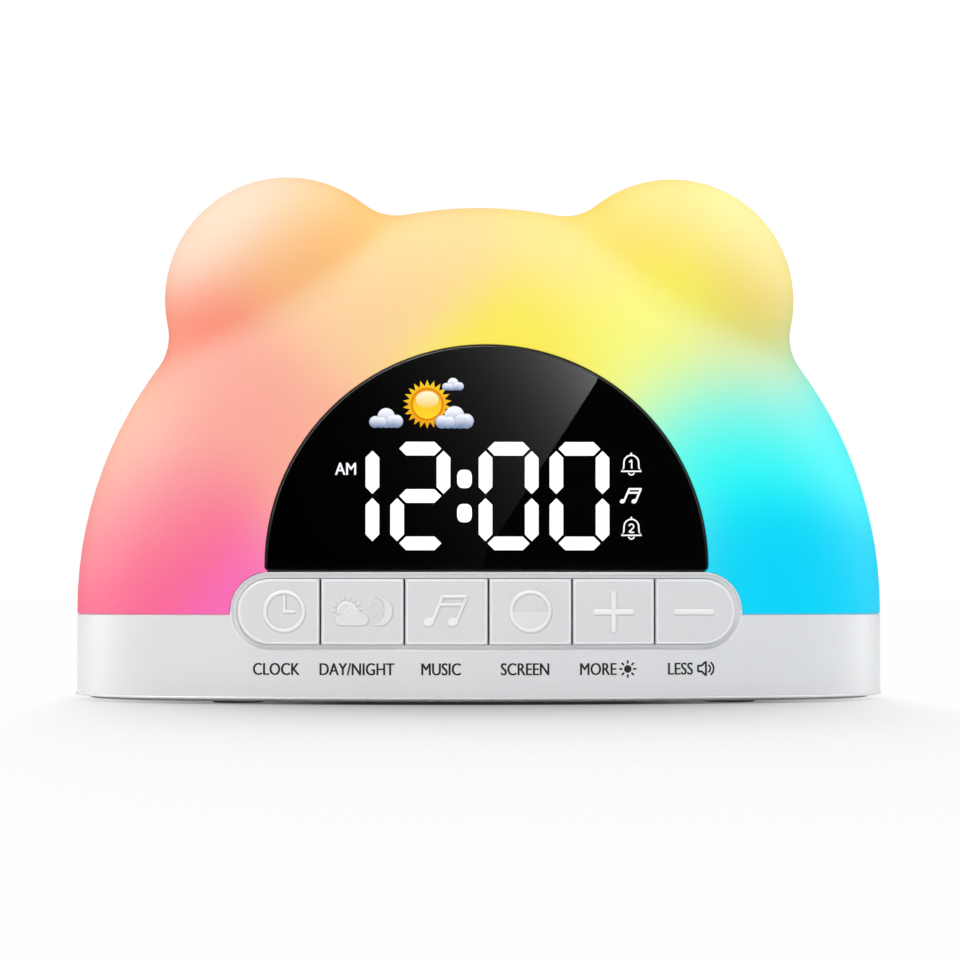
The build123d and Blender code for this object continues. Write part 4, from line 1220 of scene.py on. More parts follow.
@dataclass(frozen=True)
class NotePair:
    """A pair of notes under a double beam, with its sizes as shares of its height."""

    lean: Place = (0.30, 0.70)
    feet: Sequence[Place] = ((-0.40, -0.26), (0.34, -0.26))
    head: Place = (0.17, 0.135)
    head_turn: float = 20.0
    head_shift: Place = (0.13, 0.08)
    beams: Place = (1.0, 0.66)

    def draw(self, work: Patchwork, centre: Array, size: float, width: float, relief: Relief) -> None:
        """Adds the notes.

        Args:
            work: Where they are added.
            centre: Their middle.
            size: Their height.
            width: Width of their lines.
            relief: How they stand out.
        """
        lean = size * np.array(self.lean)
        feet = centre + size * np.array(self.feet)
        head = turned(circle(1.0, steps=32) * (size * np.array(self.head)), self.head_turn)
        for foot in feet:
            work.stroke(line(foot, foot + lean), width, relief)
            work.patch(head, relief, foot - size * np.array(self.head_shift))
        for share in self.beams:
            work.stroke(line(feet[0] + share * lean, feet[1] + share * lean), width, relief)


@dataclass(frozen=True)
class SunAndMoon:
    """A sun behind a cloud, and a moon with two stars.

    Places are from the emblem's middle, angles are in degrees, and an arc's last number counts its points.
    """

    raised: Relief
    filled: Relief
    low: Relief
    sun: Place = (-2.9, 0.1)
    sun_radius: float = 1.6
    sun_rim: float = 1.65
    sun_arc: Place = (-10, 190)
    sun_line: float = 0.5
    rays: Sequence[float] = (-15, 200, 24)
    ray_reach: Place = (2.3, 2.75)
    ray_width: float = 0.36
    cloud: Place = (-2.0, -1.25)
    cloud_width: float = 6.3
    curls: Sequence[tuple] = (((1.25, 100, 215, 16), (1.75, -0.1)), ((1.45, 15, 165, 24), (0.0, 0.6)))
    curl_width: float = 0.34
    moon: Place = (3.0, 0.05)
    moon_arc: Sequence[int] = (108, -122, 40)
    moon_radius: float = 2.7
    hollow_radius: float = 2.15
    hollow_shift: Place = (-1.05, 0.3)
    horn: float = 0.8
    stars: Sequence[tuple[float, Place]] = ((0.55, (1.4, 1.3)), (0.45, (2.2, -0.6)))

    def draw(self, work: Patchwork, centre: Array) -> None:
        """Adds the emblem; the moon is a band whose width grows and falls as sin(angle)^horn.

        Args:
            work: Where it is added.
            centre: Its middle.
        """
        sun = centre + self.sun
        work.stroke(sun + circle(self.sun_rim, *self.sun_arc, 40), self.sun_line, self.raised)
        work.patch(circle(self.sun_radius, steps=40), self.low, sun, slot=1)
        for angle in np.radians(np.arange(*self.rays)):
            ray = np.array([math.cos(angle), math.sin(angle)])
            start, stop = (sun + reach * ray for reach in self.ray_reach)
            work.stroke(line(start, stop, 3), self.ray_width, self.low)
        cloud = centre + self.cloud
        work.patch(cloud_outline(self.cloud_width), self.filled, cloud, slot=1)
        for arc, shift in self.curls:
            work.stroke(cloud + circle(*arc) + shift, self.curl_width, self.raised)
        moon = centre + self.moon
        outer = circle(self.moon_radius, *self.moon_arc)
        inner = circle(self.hollow_radius, *self.moon_arc) + self.hollow_shift
        blend = np.sin(np.linspace(0.0, math.pi, len(outer)))[:, None] ** self.horn
        work.band(moon + outer, moon + outer + (inner - outer) * blend, self.filled, slot=1)
        for radius, place in self.stars:
            work.patch(star_outline(radius), self.low, centre + place)


@dataclass
class KeyRow:
    """The six press keys, each with a raised emblem and a painted highlight at its edge, and their tray's rim.
    """

    front: FrontForm
    proud: float = 0.6
    raised: Relief = Relief(height=0.38, sink=0.1, shoulder=0.9)
    filled: Relief = Relief(height=0.28, sink=0.1, shoulder=0.15)
    low: Relief = Relief(height=0.16, sink=0.1, shoulder=0.3)
    line_width: float = 0.7
    painted_shadow_width: float = 0.28
    ring_radius: float = 3.65
    dial_shift: Place = (1.05, 0.1)
    hands: Sequence[Place] = ((0.0, 0.78), (0.56, 0.0))
    hand_width: float = 0.63
    hand_cap: float = 0.4
    notes_shift: Place = (-0.1, 0.2)
    notes_height: float = 6.1
    notes_line: float = 0.64
    screen_shift: Place = (0.0, 0.1)
    half_middle: float = -0.45
    half_fill: Relief = Relief(height=0.12, sink=0.1, shoulder=0.04)
    sign_length: float = 7.7
    sign_width: float = 1.1
    sign_cap: float = 0.35
    upright_height: float = 0.98
    minus_shift: Place = (-0.3, 0.0)
    key_height: float = 12.4
    key_gap: float = 0.3
    key_corner: float = 0.5
    # The highlight edge fields place a painted highlight band just inside each key's outline.
    highlight_edge_inset: float = 0.36
    highlight_edge_width: float = 0.26
    edge: Relief = Relief(height=0.02, sink=0.15, shoulder=0.6)
    highlight_edge_parts: int = 4
    # The highlight rim fields shape the tray's raised rim, a painted highlight.
    highlight_rim_margin: float = 1.22
    highlight_rim_width: float = 0.22
    rim: Relief = Relief(height=0.06, sink=0.1, shoulder=0.8)
    names: Sequence[str] = ("clock", "lamp", "melody", "screen", "plus", "minus")

    def centre(self, name: str) -> Array:
        """Finds the middle of a key, as (across, up).

        Args:
            name: The key.

        Returns:
            Its middle in millimetres, at the middle of its pitch.
        """
        spots = [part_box(f"{key}_button") for key in self.names[1:-1]]
        middle = np.array([[(low.x + high.x) / 2, (low.z + high.z) / 2] for low, high in spots]) / MM
        pitch = (middle[-1, 0] - middle[0, 0]) / (len(spots) - 1)
        return np.array([middle[0, 0] + pitch * (self.names.index(name) - 1), middle[0, 1]])

    def clock_emblem(self, work: Patchwork) -> None:
        """Draws a dial with two hands, a little towards the row's middle.

        Args:
            work: Where it is added.
        """
        centre = self.centre("clock") + self.dial_shift
        work.stroke(centre + circle(self.ring_radius), self.line_width, self.raised, ring=True)
        for hand in self.ring_radius * np.array(self.hands):
            work.stroke(line(centre, centre + hand), self.hand_width, self.raised, cap=self.hand_cap)

    def lamp_emblem(self, work: Patchwork) -> None:
        """Draws the sun behind a cloud, and the moon with two stars."""
        SunAndMoon(self.raised, self.filled, self.low).draw(work, self.centre("lamp"))

    def melody_emblem(self, work: Patchwork) -> None:
        """Draws a pair of notes."""
        centre = self.centre("melody") + self.notes_shift
        NotePair().draw(work, centre, self.notes_height, self.notes_line, self.raised)

    def screen_emblem(self, work: Patchwork) -> None:
        """Draws a ring whose lower half is filled; the half's arc runs a touch past its end, to close it.

        Args:
            work: Where it is added.
        """
        centre = self.centre("screen") + self.screen_shift
        work.stroke(centre + circle(self.ring_radius), self.line_width, self.raised, ring=True)
        rim = circle(self.ring_radius, 180, 360.01, 40)
        half = np.vstack([rim, line(rim[-1], rim[0], 20)[1:-1]])
        middle = np.array([0.0, self.half_middle * self.ring_radius])
        work.patch(half - middle, self.half_fill, centre + middle, slot=1)

    def plus_emblem(self, work: Patchwork) -> None:
        """Draws a plus sign, its upright a little lower so that the bars don't share a face."""
        self.add_bar(work, self.centre("plus"), (1.0, 0.0))
        self.add_bar(work, self.centre("plus"), (0.0, 1.0), self.upright_height)

    def minus_emblem(self, work: Patchwork) -> None:
        """Draws a minus sign."""
        self.add_bar(work, self.centre("minus") + self.minus_shift, (1.0, 0.0))

    def add_bar(self, work: Patchwork, centre: Array, along: Place, share: float = 1.0) -> None:
        """Adds a bar with slightly rounded corners.

        Args:
            work: Where it is added.
            centre: Its middle.
            along: Direction of its length.
            share: Its height, as a share of the relief's.
        """
        reach = np.asarray(along) * (self.sign_length - self.sign_cap * self.sign_width) / 2
        relief = Relief(share * self.raised.height, self.raised.sink, 1.0)
        work.stroke(line(centre - reach, centre + reach), self.sign_width, relief, cap=self.sign_cap)

    def highlight_edge_path(self, name: str) -> Array:
        """Gives the line just inside a key's outline: four arcs, large ones at the ends of the row.

        The straight runs between the arcs are cut into parts, so that they follow the bowed front.

        Args:
            name: The key.

        Returns:
            Points on the closed line.
        """
        centre = self.centre(name)
        pitch = self.centre(self.names[1])[0] - self.centre(self.names[0])[0]
        half = np.array([pitch - self.key_gap, self.key_height]) / 2 - self.highlight_edge_inset
        arcs = []
        for start, side in ((0, (1, 1)), (90, (-1, 1)), (180, (-1, -1)), (270, (1, -1))):
            rounded = name == self.names[-1 if side[0] > 0 else 0]
            radius = half[1] if rounded else self.key_corner
            arcs.append(centre + np.array(side) * (half - radius) + circle(radius, start, start + 90, 16))
        path = np.vstack(arcs)
        share = np.linspace(0.0, 1.0, self.highlight_edge_parts, endpoint=False)[None, :, None]
        finer = (path[:, None] * (1 - share) + np.roll(path, -1, 0)[:, None] * share).reshape(-1, 2)
        steps = np.linalg.norm(np.diff(finer, axis=0, append=finer[:1]), axis=1)
        return finer[steps > Patchwork.shortest]

    def build_highlight_rim(self) -> None:
        """Makes the tray's fine raised rim: round its left end, under the keys and round its right end."""
        first, last = self.centre(self.names[0]), self.centre(self.names[-1])
        pitch = (last - first) / (len(self.names) - 1)
        inset = (pitch - (self.key_height, 0.0)) / 2
        radius = self.key_height / 2 + self.highlight_rim_margin
        left, right = first - inset, last + inset
        path = np.vstack([left + circle(radius, 180, 270, 24), line(left, right, 60)[1:-1] - (0.0, radius),
                          right + circle(radius, 270, 360, 24)])
        work = Patchwork()
        work.stroke(path, self.highlight_rim_width, self.rim)
        # The rim is in a plastic lighter than the base: a painted highlight along the tray's edge.
        piece = work.make("tray_rim", self.front.on_ball(0.0), [PAINTED_HIGHLIGHT_LINE.material()])

    def build(self) -> None:
        """Makes one emblem piece for each key, riding on that key."""
        highlight_and_shadow_plastics = [PAINTED_HIGHLIGHT_LINE.material(), PAINTED_HIGHLIGHT_FILL.material(), PAINTED_SHADOW_FOOT.material()]
        emblems = (self.clock_emblem, self.lamp_emblem, self.melody_emblem, self.screen_emblem,
                   self.plus_emblem, self.minus_emblem)
        for name, draw in zip(self.names, emblems):
            work = Patchwork()
            # Each emblem is drawn twice: first as its painted shadow, then itself.
            for work.foot in (self.painted_shadow_width, 0.0):
                draw(work)
            # A band in the lighter plastic just inside the key's outline: a painted highlight on its edge.
            work.stroke(self.highlight_edge_path(name), self.highlight_edge_width, self.edge, ring=True)
            piece = work.make(f"{name}_emblem", self.front.on_ball(self.proud), highlight_and_shadow_plastics, f"{name}_key")

    def dress(self, nodes: dict[str, bpy.types.Object]) -> None:
        """Gives the keys their finish."""
        dress(nodes, [f"{name}_button" for name in self.names], KEY_MOULDING.material())


@dataclass
class Keypad:
    """The rubber mat behind the keys and its contact discs, in a slice for each key.

    Each slice is the part of the CAD solid within half a pitch of its key, with the cuts closed. keep, the
    share of its height over the circuit board that it keeps at full press, is not used.
    """

    keys: KeyRow
    keep: float = 0.58
    nodes: Sequence[tuple[str, str, str]] = (
        ("silicone_keypad", "keypad", "keypad_silicone"), ("carbon_pills", "contact", "carbon_rubber"),
    )

    def slice_of(self, source: bpy.types.Mesh, name: str, limits: Sequence[float]) -> bpy.types.Object:
        """Cuts a slice out of a copy of a solid.

        Args:
            source: The solid's mesh, which stays as it is.
            name: The slice's name.
            limits: Lowest and highest place across, in metres.

        Returns:
            The slice.
        """
        work = bmesh.new()
        work.from_mesh(source)
        bmesh.ops.remove_doubles(work, verts=work.verts, dist=MERGE_DISTANCE)
        for place, outwards in zip(limits, (-1.0, 1.0)):
            whole = [*work.verts, *work.edges, *work.faces]
            cut = bmesh.ops.bisect_plane(work, geom=whole, plane_co=(place, 0.0, 0.0),
                                         plane_no=(outwards, 0.0, 0.0), clear_outer=True)["geom_cut"]
            bmesh.ops.holes_fill(work, edges=[part for part in cut if isinstance(part, bmesh.types.BMEdge)])
        mesh = bpy.data.meshes.new(name)
        work.to_mesh(mesh)
        work.free()
        close_mesh(mesh)
        return add_object(name, mesh)

    def build(self, nodes: dict[str, bpy.types.Object]) -> None:
        """Makes the slices.

        Args:
            nodes: All CAD nodes.
        """
        middles = np.array([self.keys.centre(name)[0] for name in self.keys.names]) * MM
        half = (middles[1] - middles[0]) / 2
        for node, kind, slot in self.nodes:
            rubber = INNER_FINISHES[slot].material()
            for key, middle in zip(self.keys.names, middles):
                reach = np.where(np.isclose(middle, [middles[0], middles[-1]]), 2 * half, half)
                piece = self.slice_of(nodes[node].data, f"{key}_{kind}", (middle - reach[0], middle + reach[1]))
                piece.data.materials.append(rubber)
                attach(piece, CLOCK_BODY)
                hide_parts(node)
                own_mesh(piece)
                LOG.info("%s: %d faces, flattens under its key", piece.name, len(piece.data.polygons))


@dataclass
class PrintedLabels:
    """Words and two small signs printed on the base, under the keys."""

    front: FrontForm
    keys: KeyRow
    z: float = 6.7
    cap_height: float = 2.3
    ink: Relief = Relief(height=0.02, sink=0.02, shoulder=0.05)
    shift: float = -1.0
    clock_shift: float = 0.6
    signed_shift: float = 1.9
    words: Sequence[tuple[str, str]] = (
        ("clock", "CLOCK"), ("lamp", "DAY/NIGHT"), ("melody", "MUSIC"),
        ("screen", "SCREEN"), ("plus", "MORE"), ("minus", "LESS"),
    )
    sign_line: float = 0.36
    sun_gap: float = 0.3
    sun_radius: float = 0.72
    ray_reach: Place = (1.15, 1.5)
    sound_gap: float = 0.6
    horn: Sequence[Place] = ((-1.45, -0.55), (-0.75, -0.55), (0.1, -1.35), (0.1, 1.35), (-0.75, 0.55),
                             (-1.45, 0.55))
    horn_line: float = 0.4
    wave_shift: Place = (0.1, 0.0)
    wave_radii: Place = (0.85, 1.5)
    wave_angle: float = 48.0

    def sun_sign(self, work: Patchwork, centre: Array) -> None:
        """Draws a small sun.

        Args:
            work: Where it is added.
            centre: Its middle.
        """
        work.patch(circle(self.sun_radius, steps=32), self.ink, centre)
        for angle in np.radians(np.arange(0, 360, 45)):
            ray = np.array([math.cos(angle), math.sin(angle)])
            start, stop = (centre + reach * ray for reach in self.ray_reach)
            work.stroke(line(start, stop, 3), self.sign_line, self.ink)

    def sound_sign(self, work: Patchwork, centre: Array) -> None:
        """Draws a small loudspeaker with two waves.

        Args:
            work: Where it is added.
            centre: Its middle.
        """
        sides = [line(start, stop, 6)[:-1] for start, stop in zip(self.horn, np.roll(self.horn, -1, 0))]
        work.stroke(centre + np.vstack(sides), self.horn_line, self.ink, ring=True)
        for radius in self.wave_radii:
            wave = circle(radius, -self.wave_angle, self.wave_angle, 12)
            work.stroke(centre + wave + self.wave_shift, self.sign_line, self.ink)

    def build(self) -> None:
        """Makes the printed piece."""
        work = Patchwork()
        for key, word in self.words:
            across = self.keys.centre(key)[0] + self.shift + self.clock_shift * (key == "clock")
            centre = np.array([across, self.z])
            start = self.signed_shift * (key in ("plus", "minus"))
            width = work.letters(word, self.cap_height, self.ink.height, centre - (start, 0.0))
            if key == "plus":
                self.sun_sign(work, centre + (width / 2 + self.sun_gap, 0.0))
            if key == "minus":
                self.sound_sign(work, centre + (width / 2 + self.sound_gap, 0.0))
        piece = work.make("printed_labels", self.front.on_wall(), [LABEL_INK.material()])


@dataclass(frozen=True)
class Bell:
    """A lit outline of a bell with a number in it. Places are from its middle, angles in degrees."""

    relief: Relief
    crown_radius: float = 1.4
    crown_rise: Place = (0.0, 0.3)
    rim: Sequence[Place] = ((1.45, -0.75), (1.95, -1.35), (-1.95, -1.35), (-1.45, -0.75))
    rim_line: float = 0.28
    clapper: Sequence[float] = (0.55, 200, 340, 10)
    clapper_drop: Place = (0.0, -1.5)
    clapper_line: float = 0.26
    knob: Sequence[Place] = ((0.0, 1.85), (0.0, 2.05))
    knob_line: float = 0.34
    number_line: float = 0.27
    number_cap: float = 0.3

    def draw(self, work: Patchwork, centre: Array, number: Array) -> None:
        """Adds the bell.

        Args:
            work: Where it is added.
            centre: Its middle.
            number: The line of the number, about the bell's middle.
        """
        crown = circle(self.crown_radius, 180, 0, 24) + self.crown_rise
        work.stroke(centre + np.vstack([crown, self.rim]), self.rim_line, self.relief, ring=True)
        work.stroke(centre + circle(*self.clapper) + self.clapper_drop, self.clapper_line, self.relief)
        work.stroke(line(*(centre + np.array(self.knob)), 3), self.knob_line, self.relief)
        work.stroke(centre + number, self.number_line, self.relief, cap=self.number_cap)


@dataclass(frozen=True)
class WeatherPicture:
    """The lit weather picture: a sun, a cloud on each side of it and a small one above.

    Its material slots are the sun's light, the clouds' and the gloss's. Places are from the picture's middle.
    """

    sun: Place = (0.3, 1.0)
    ray_reach: float = 4.65
    ray_count: int = 22
    ray_waist: float = 0.74
    ray_tone: Place = (0.6, 0.25)
    rim_radius: float = 3.2
    rim_tone: Place = (0.12, 0.0)
    disc_radius: float = 2.9
    disc_tone: Place = (0.75, -0.35)
    disc_top: float = 1.1
    gloss_rise: Place = (0.0, 0.85)
    gloss_reach: Place = (2.35, 1.75)
    gloss_tone: Place = (0.5, 0.5)
    clouds: Sequence[tuple[Place, float]] = (((-7.5, -2.0), 6.6), ((5.5, -1.9), 7.5), ((5.2, 4.6), 4.2))
    cloud_tone: Place = (0.45, 2.0)
    puffs: Sequence[Spot] = ((-0.30, -0.05, 0.16), (0.30, -0.04, 0.17), (-0.02, 0.08, 0.22),
                             (0.15, -0.02, 0.17), (-0.13, -0.06, 0.15))
    puff_tone: Place = (0.6, 0.6)
    puff_height: float = 0.16
    puff_step: float = 0.02
    strength: float = 7.1

    def draw(self, work: Patchwork, middle: Array) -> None:
        """Adds the sun, in layers that each lie a little before the last, and the clouds.

        Args:
            work: Where they are added.
            middle: The picture's middle.
        """
        sun = middle + self.sun
        rays = star_outline(self.ray_reach, self.ray_count, self.ray_waist)
        lit = ramp(*self.ray_tone, self.ray_reach)
        work.patch(rays, Relief(height=0.05, sink=0.04, shoulder=0.05), sun, tone=lit)
        rim = ramp(*self.rim_tone, self.rim_radius)
        work.patch(circle(self.rim_radius), Relief(height=0.08, sink=0.0, shoulder=0.1), sun, tone=rim)
        disc = ramp(*self.disc_tone, self.disc_radius, self.disc_top)
        work.patch(circle(self.disc_radius), Relief(height=0.10, sink=0.0, shoulder=0.2), sun, tone=disc)
        gloss = ramp(*self.gloss_tone, self.gloss_reach[1])
        work.patch(circle(1.0) * self.gloss_reach, Relief(height=0.12, sink=0.0, shoulder=0.3),
                   sun + self.gloss_rise, slot=2, tone=gloss)
        for place, width in self.clouds:
            self.draw_cloud(work, middle + place, width)

    def draw_cloud(self, work: Patchwork, centre: Array, width: float) -> None:
        """Adds a lit cloud of overlapping puffs, each bright at the top and blue below.

        Args:
            work: Where it is added.
            centre: Its middle.
            width: Its width.
        """
        work.patch(cloud_outline(width, foot=-1.0), Relief(height=0.14, sink=0.04, shoulder=0.2), centre,
                   slot=1, tone=ramp(*self.cloud_tone, width))
        for step, (x, z, radius) in enumerate(self.puffs):
            relief = Relief(self.puff_height + self.puff_step * step, sink=0.0, shoulder=0.3)
            work.patch(circle(radius * width, steps=40), relief, centre + np.array([x, z]) * width,
                       slot=1, tone=ramp(*self.puff_tone, radius * width))

    def lights(self) -> list[bpy.types.Material]:
        """Gives the lights of the sun, the clouds and the gloss."""
        tones = {"sun_light": (linear(222, 120, 0), linear(255, 214, 40)),
                 "cloud_light": (linear(112, 132, 166), linear(246, 249, 253)),
                 "gloss_light": (linear(255, 205, 60), linear(255, 250, 220))}
        return [LitFilm(name, low, high, self.strength).material() for name, (low, high) in tones.items()]


@dataclass
class Display:
    """The lit time, its signs and the weather picture behind the smoked lens, and the lens's edge."""

    figure_width: float = 11.4
    figure_height: float = 20.6
    figure_pitch: float = 13.5
    segment_width: float = 2.6
    segment_gap: float = 0.4
    colon_x: float = -4.2
    colon_reach: float = 8.4
    colon_width: float = 2.8
    colon_height: float = 3.5
    colon_spread: float = 6.5
    colon_squareness: int = 3
    weather_x: float = -11.6
    weather_rise: float = 16.45
    side_x: float = 27.6
    side_pitch: float = 6.1
    notes_shift: Place = (-0.1, 0.05)
    notes_height: float = 3.0
    notes_line: float = 0.38
    half_day_x: float = -26.8
    half_day_rise: float = 5.15
    half_day_height: float = 2.3
    bar: Relief = Relief(height=0.02, sink=1.45, shoulder=0.08)
    mark: Relief = Relief(height=0.04, sink=0.04, shoulder=0.1)
    edge: Relief = Relief(height=0.02, sink=0.2, shoulder=0.15)
    bead: Relief = Relief(height=0.06, sink=0.05, shoulder=1.0)
    edge_band: Place = (0.2, 0.4)
    bead_band: Place = (0.42, 0.2)
    dim_white: Colour = (0.80, 0.83, 0.88)
    full_white: Colour = (1.0, 1.0, 1.0)
    figure_strength: float = 8.5
    sign_strength: float = 7.4

    def __post_init__(self) -> None:
        """Finds the display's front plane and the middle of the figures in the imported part."""
        low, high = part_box("digit_segments")
        self.plane = low.y / MM
        self.figure_z = (low.z + high.z) / 2 / MM

    def segments(self) -> dict[str, tuple[Array, bool]]:
        """Gives the middle of each segment of a figure, and whether it stands upright.

        Returns:
            Both, for the segments a to g.
        """
        across = (self.figure_width - self.segment_width) / 2
        rise = (self.figure_height - self.segment_width) / 2
        places = {"a": (0, 1), "b": (1, 0.5), "c": (1, -0.5), "d": (0, -1), "e": (-1, -0.5), "f": (-1, 0.5),
                  "g": (0, 0)}
        return {key: (np.array([x * across, z * rise]), x != 0) for key, (x, z) in places.items()}

    def segment_outline(self, upright: bool) -> Array:
        """Gives a six-sided segment with pointed ends.

        Args:
            upright: Whether it stands.

        Returns:
            Its outline.
        """
        rise = (self.figure_height - self.segment_width) / 2
        length = rise if upright else self.figure_width - self.segment_width
        half = length / 2 - self.segment_gap
        wide = self.segment_width / 2
        outline = np.array([[half - wide, -wide], [half, 0], [half - wide, wide],
                            [wide - half, wide], [-half, 0], [wide - half, -wide]])
        return outline[:, ::-1] * (1, -1) if upright else outline

    def build_figures(self) -> None:
        """Makes the bars and dots of the time, lit ones in the first slot and dark ones in the second."""
        work = Patchwork()
        first = self.colon_x - self.colon_reach
        last = self.colon_x + self.colon_reach
        figures = ((first - self.figure_pitch, "bc", "bc"), (first, "abcdefg", "abged"),
                   (last, "abcdefg", "abcdef"), (last + self.figure_pitch, "abcdefg", "abcdef"))
        for centre, fitted, lit in figures:
            for key in fitted:
                place, upright = self.segments()[key]
                spot = place + (centre, self.figure_z)
                work.patch(self.segment_outline(upright), self.bar, spot, slot=int(key not in lit))
        dot = ray_outline(self.dot_reach, 48)
        for side in (-0.5, 0.5):
            work.patch(dot, self.bar, (self.colon_x, self.figure_z + side * self.colon_spread))
        lit = LitFilm("lit_diffuser", self.dim_white, self.full_white, self.figure_strength).material()
        piece = work.make("time_figures", on_plane(self.plane), [lit, DARK_FILM.material()])
        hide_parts("digit_segments")

    def dot_reach(self, angle: Array) -> Array:
        """Gives a rounded box of the colon's dots: |x/a|^n + |y/b|^n = 1 in each direction.

        Args:
            angle: The directions, in radians.

        Returns:
            The distances.
        """
        across = np.abs(np.cos(angle)) / (self.colon_width / 2)
        up = np.abs(np.sin(angle)) / (self.colon_height / 2)
        return (across**self.colon_squareness + up**self.colon_squareness) ** (-1 / self.colon_squareness)

    def build_signs(self) -> None:
        """Makes the white signs: half-day letters, two numbered bells and a pair of notes."""
        work = Patchwork()
        half_day = (self.half_day_x, self.figure_z + self.half_day_rise)
        work.letters("AM", self.half_day_height, self.mark.height, half_day, squeeze=0.85, weight=0.08)
        side = np.array([self.side_x, self.figure_z])
        one = np.vstack([line((-0.4, 0.4), (0.08, 0.8)), line((0.08, 0.72), (0.08, -0.8))])
        two = np.vstack([circle(0.44, 165, -35, 14) + (0.0, 0.34), line((-0.46, -0.78), (0.5, -0.78))])
        bell = Bell(self.mark)
        bell.draw(work, side + (0.0, self.side_pitch), one)
        bell.draw(work, side - (0.0, self.side_pitch), two)
        NotePair().draw(work, side + self.notes_shift, self.notes_height, self.notes_line, self.mark)
        light = LitFilm("sign_light", self.dim_white, self.full_white, self.sign_strength).material()
        piece = work.make("display_signs", on_plane(self.plane), [light])

    def build_weather(self) -> None:
        """Makes the weather picture."""
        work = Patchwork()
        picture = WeatherPicture()
        picture.draw(work, np.array([self.weather_x, self.figure_z + self.weather_rise]))
        piece = work.make("weather_picture", on_plane(self.plane), picture.lights())

    def build_edge(self, front: FrontForm) -> None:
        """Makes the black edge that frames the lens over its arc, with a fine rounded bead inside it.

        Args:
            front: The surface that the lens is flush with.
        """
        low, high = (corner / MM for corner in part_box("display_lens"))
        radius = (high.x - low.x) / 2
        middle = np.array([(low.x + high.x) / 2, high.z - radius])
        work = Patchwork()
        bands = ((*self.edge_band, self.edge), (*self.bead_band, self.bead))
        for slot, (inset, width, relief) in enumerate(bands):
            work.stroke(middle + circle(radius - inset, 0, 180, 180), width, relief, slot=slot, cap=0.1)
        piece = work.make("lens_edge", front.on_ball(0.0), [DARK_FILM.material(), LENS_EDGE.material()])

    def build(self, front: FrontForm) -> None:
        """Makes the lens's edge and all that is lit behind it.

        Args:
            front: The surface that the lens is flush with.
        """
        self.build_edge(front)
        self.build_figures()
        self.build_signs()
        self.build_weather()

    def dress(self, nodes: dict[str, bpy.types.Object]) -> None:
        """Gives the lens and the dark windows behind it their finishes."""
        dress(nodes, ["display_lens"], SmokedLens().material())
        dress(nodes, ["indicator_windows"], DARK_FILM.material())


@dataclass
class Casing:
    """The lamp shade, the white base with its cover, and all that is screwed inside."""

    def dress(self, nodes: dict[str, bpy.types.Object], record: dict) -> None:
        """Gives the casing and the inner pieces their finishes.

        Args:
            nodes: All CAD nodes.
            record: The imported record, which says what each node is made of.
        """
        slots: dict[str, list[str]] = {}
        for subpart in record["subparts"]:
            slots.setdefault(subpart["material_slot"], []).append(subpart["node"])
        dress(nodes, slots["dome_plastic"], GlowingShade().material())
        dress(nodes, slots["base_plastic"], WHITE_MOULDING.material())
        dress(nodes, slots["black_plastic"], BLACK_MOULDING.material())
        for slot, finish in INNER_FINISHES.items():
            dress(nodes, slots[slot], finish.material())


@dataclass(frozen=True)
class Softbox:
    """A rectangular studio light."""

    name: str
    place: Spot
    aim: Spot
    size: tuple[float, float]
    radiance: float
    mirrored_only: bool = False

    def build(self) -> None:
        """Adds the light: its power is radiance times pi times its area."""
        lamp = bpy.data.lights.new(self.name, "AREA")
        lamp.shape = "RECTANGLE"
        lamp.size, lamp.size_y = self.size
        lamp.energy = self.radiance * math.pi * self.size[0] * self.size[1]
        holder = add_object(self.name, lamp)
        holder.location = self.place
        holder.rotation_euler = looking(self.place, self.aim)
        holder.visible_camera = False
        holder.visible_diffuse = not self.mirrored_only


def looking(place: Spot, aim: Spot) -> Euler:
    """Gives the turn of a light or camera that looks from one place to another."""
    return (Vector(aim) - Vector(place)).to_track_quat("-Z", "Y").to_euler()


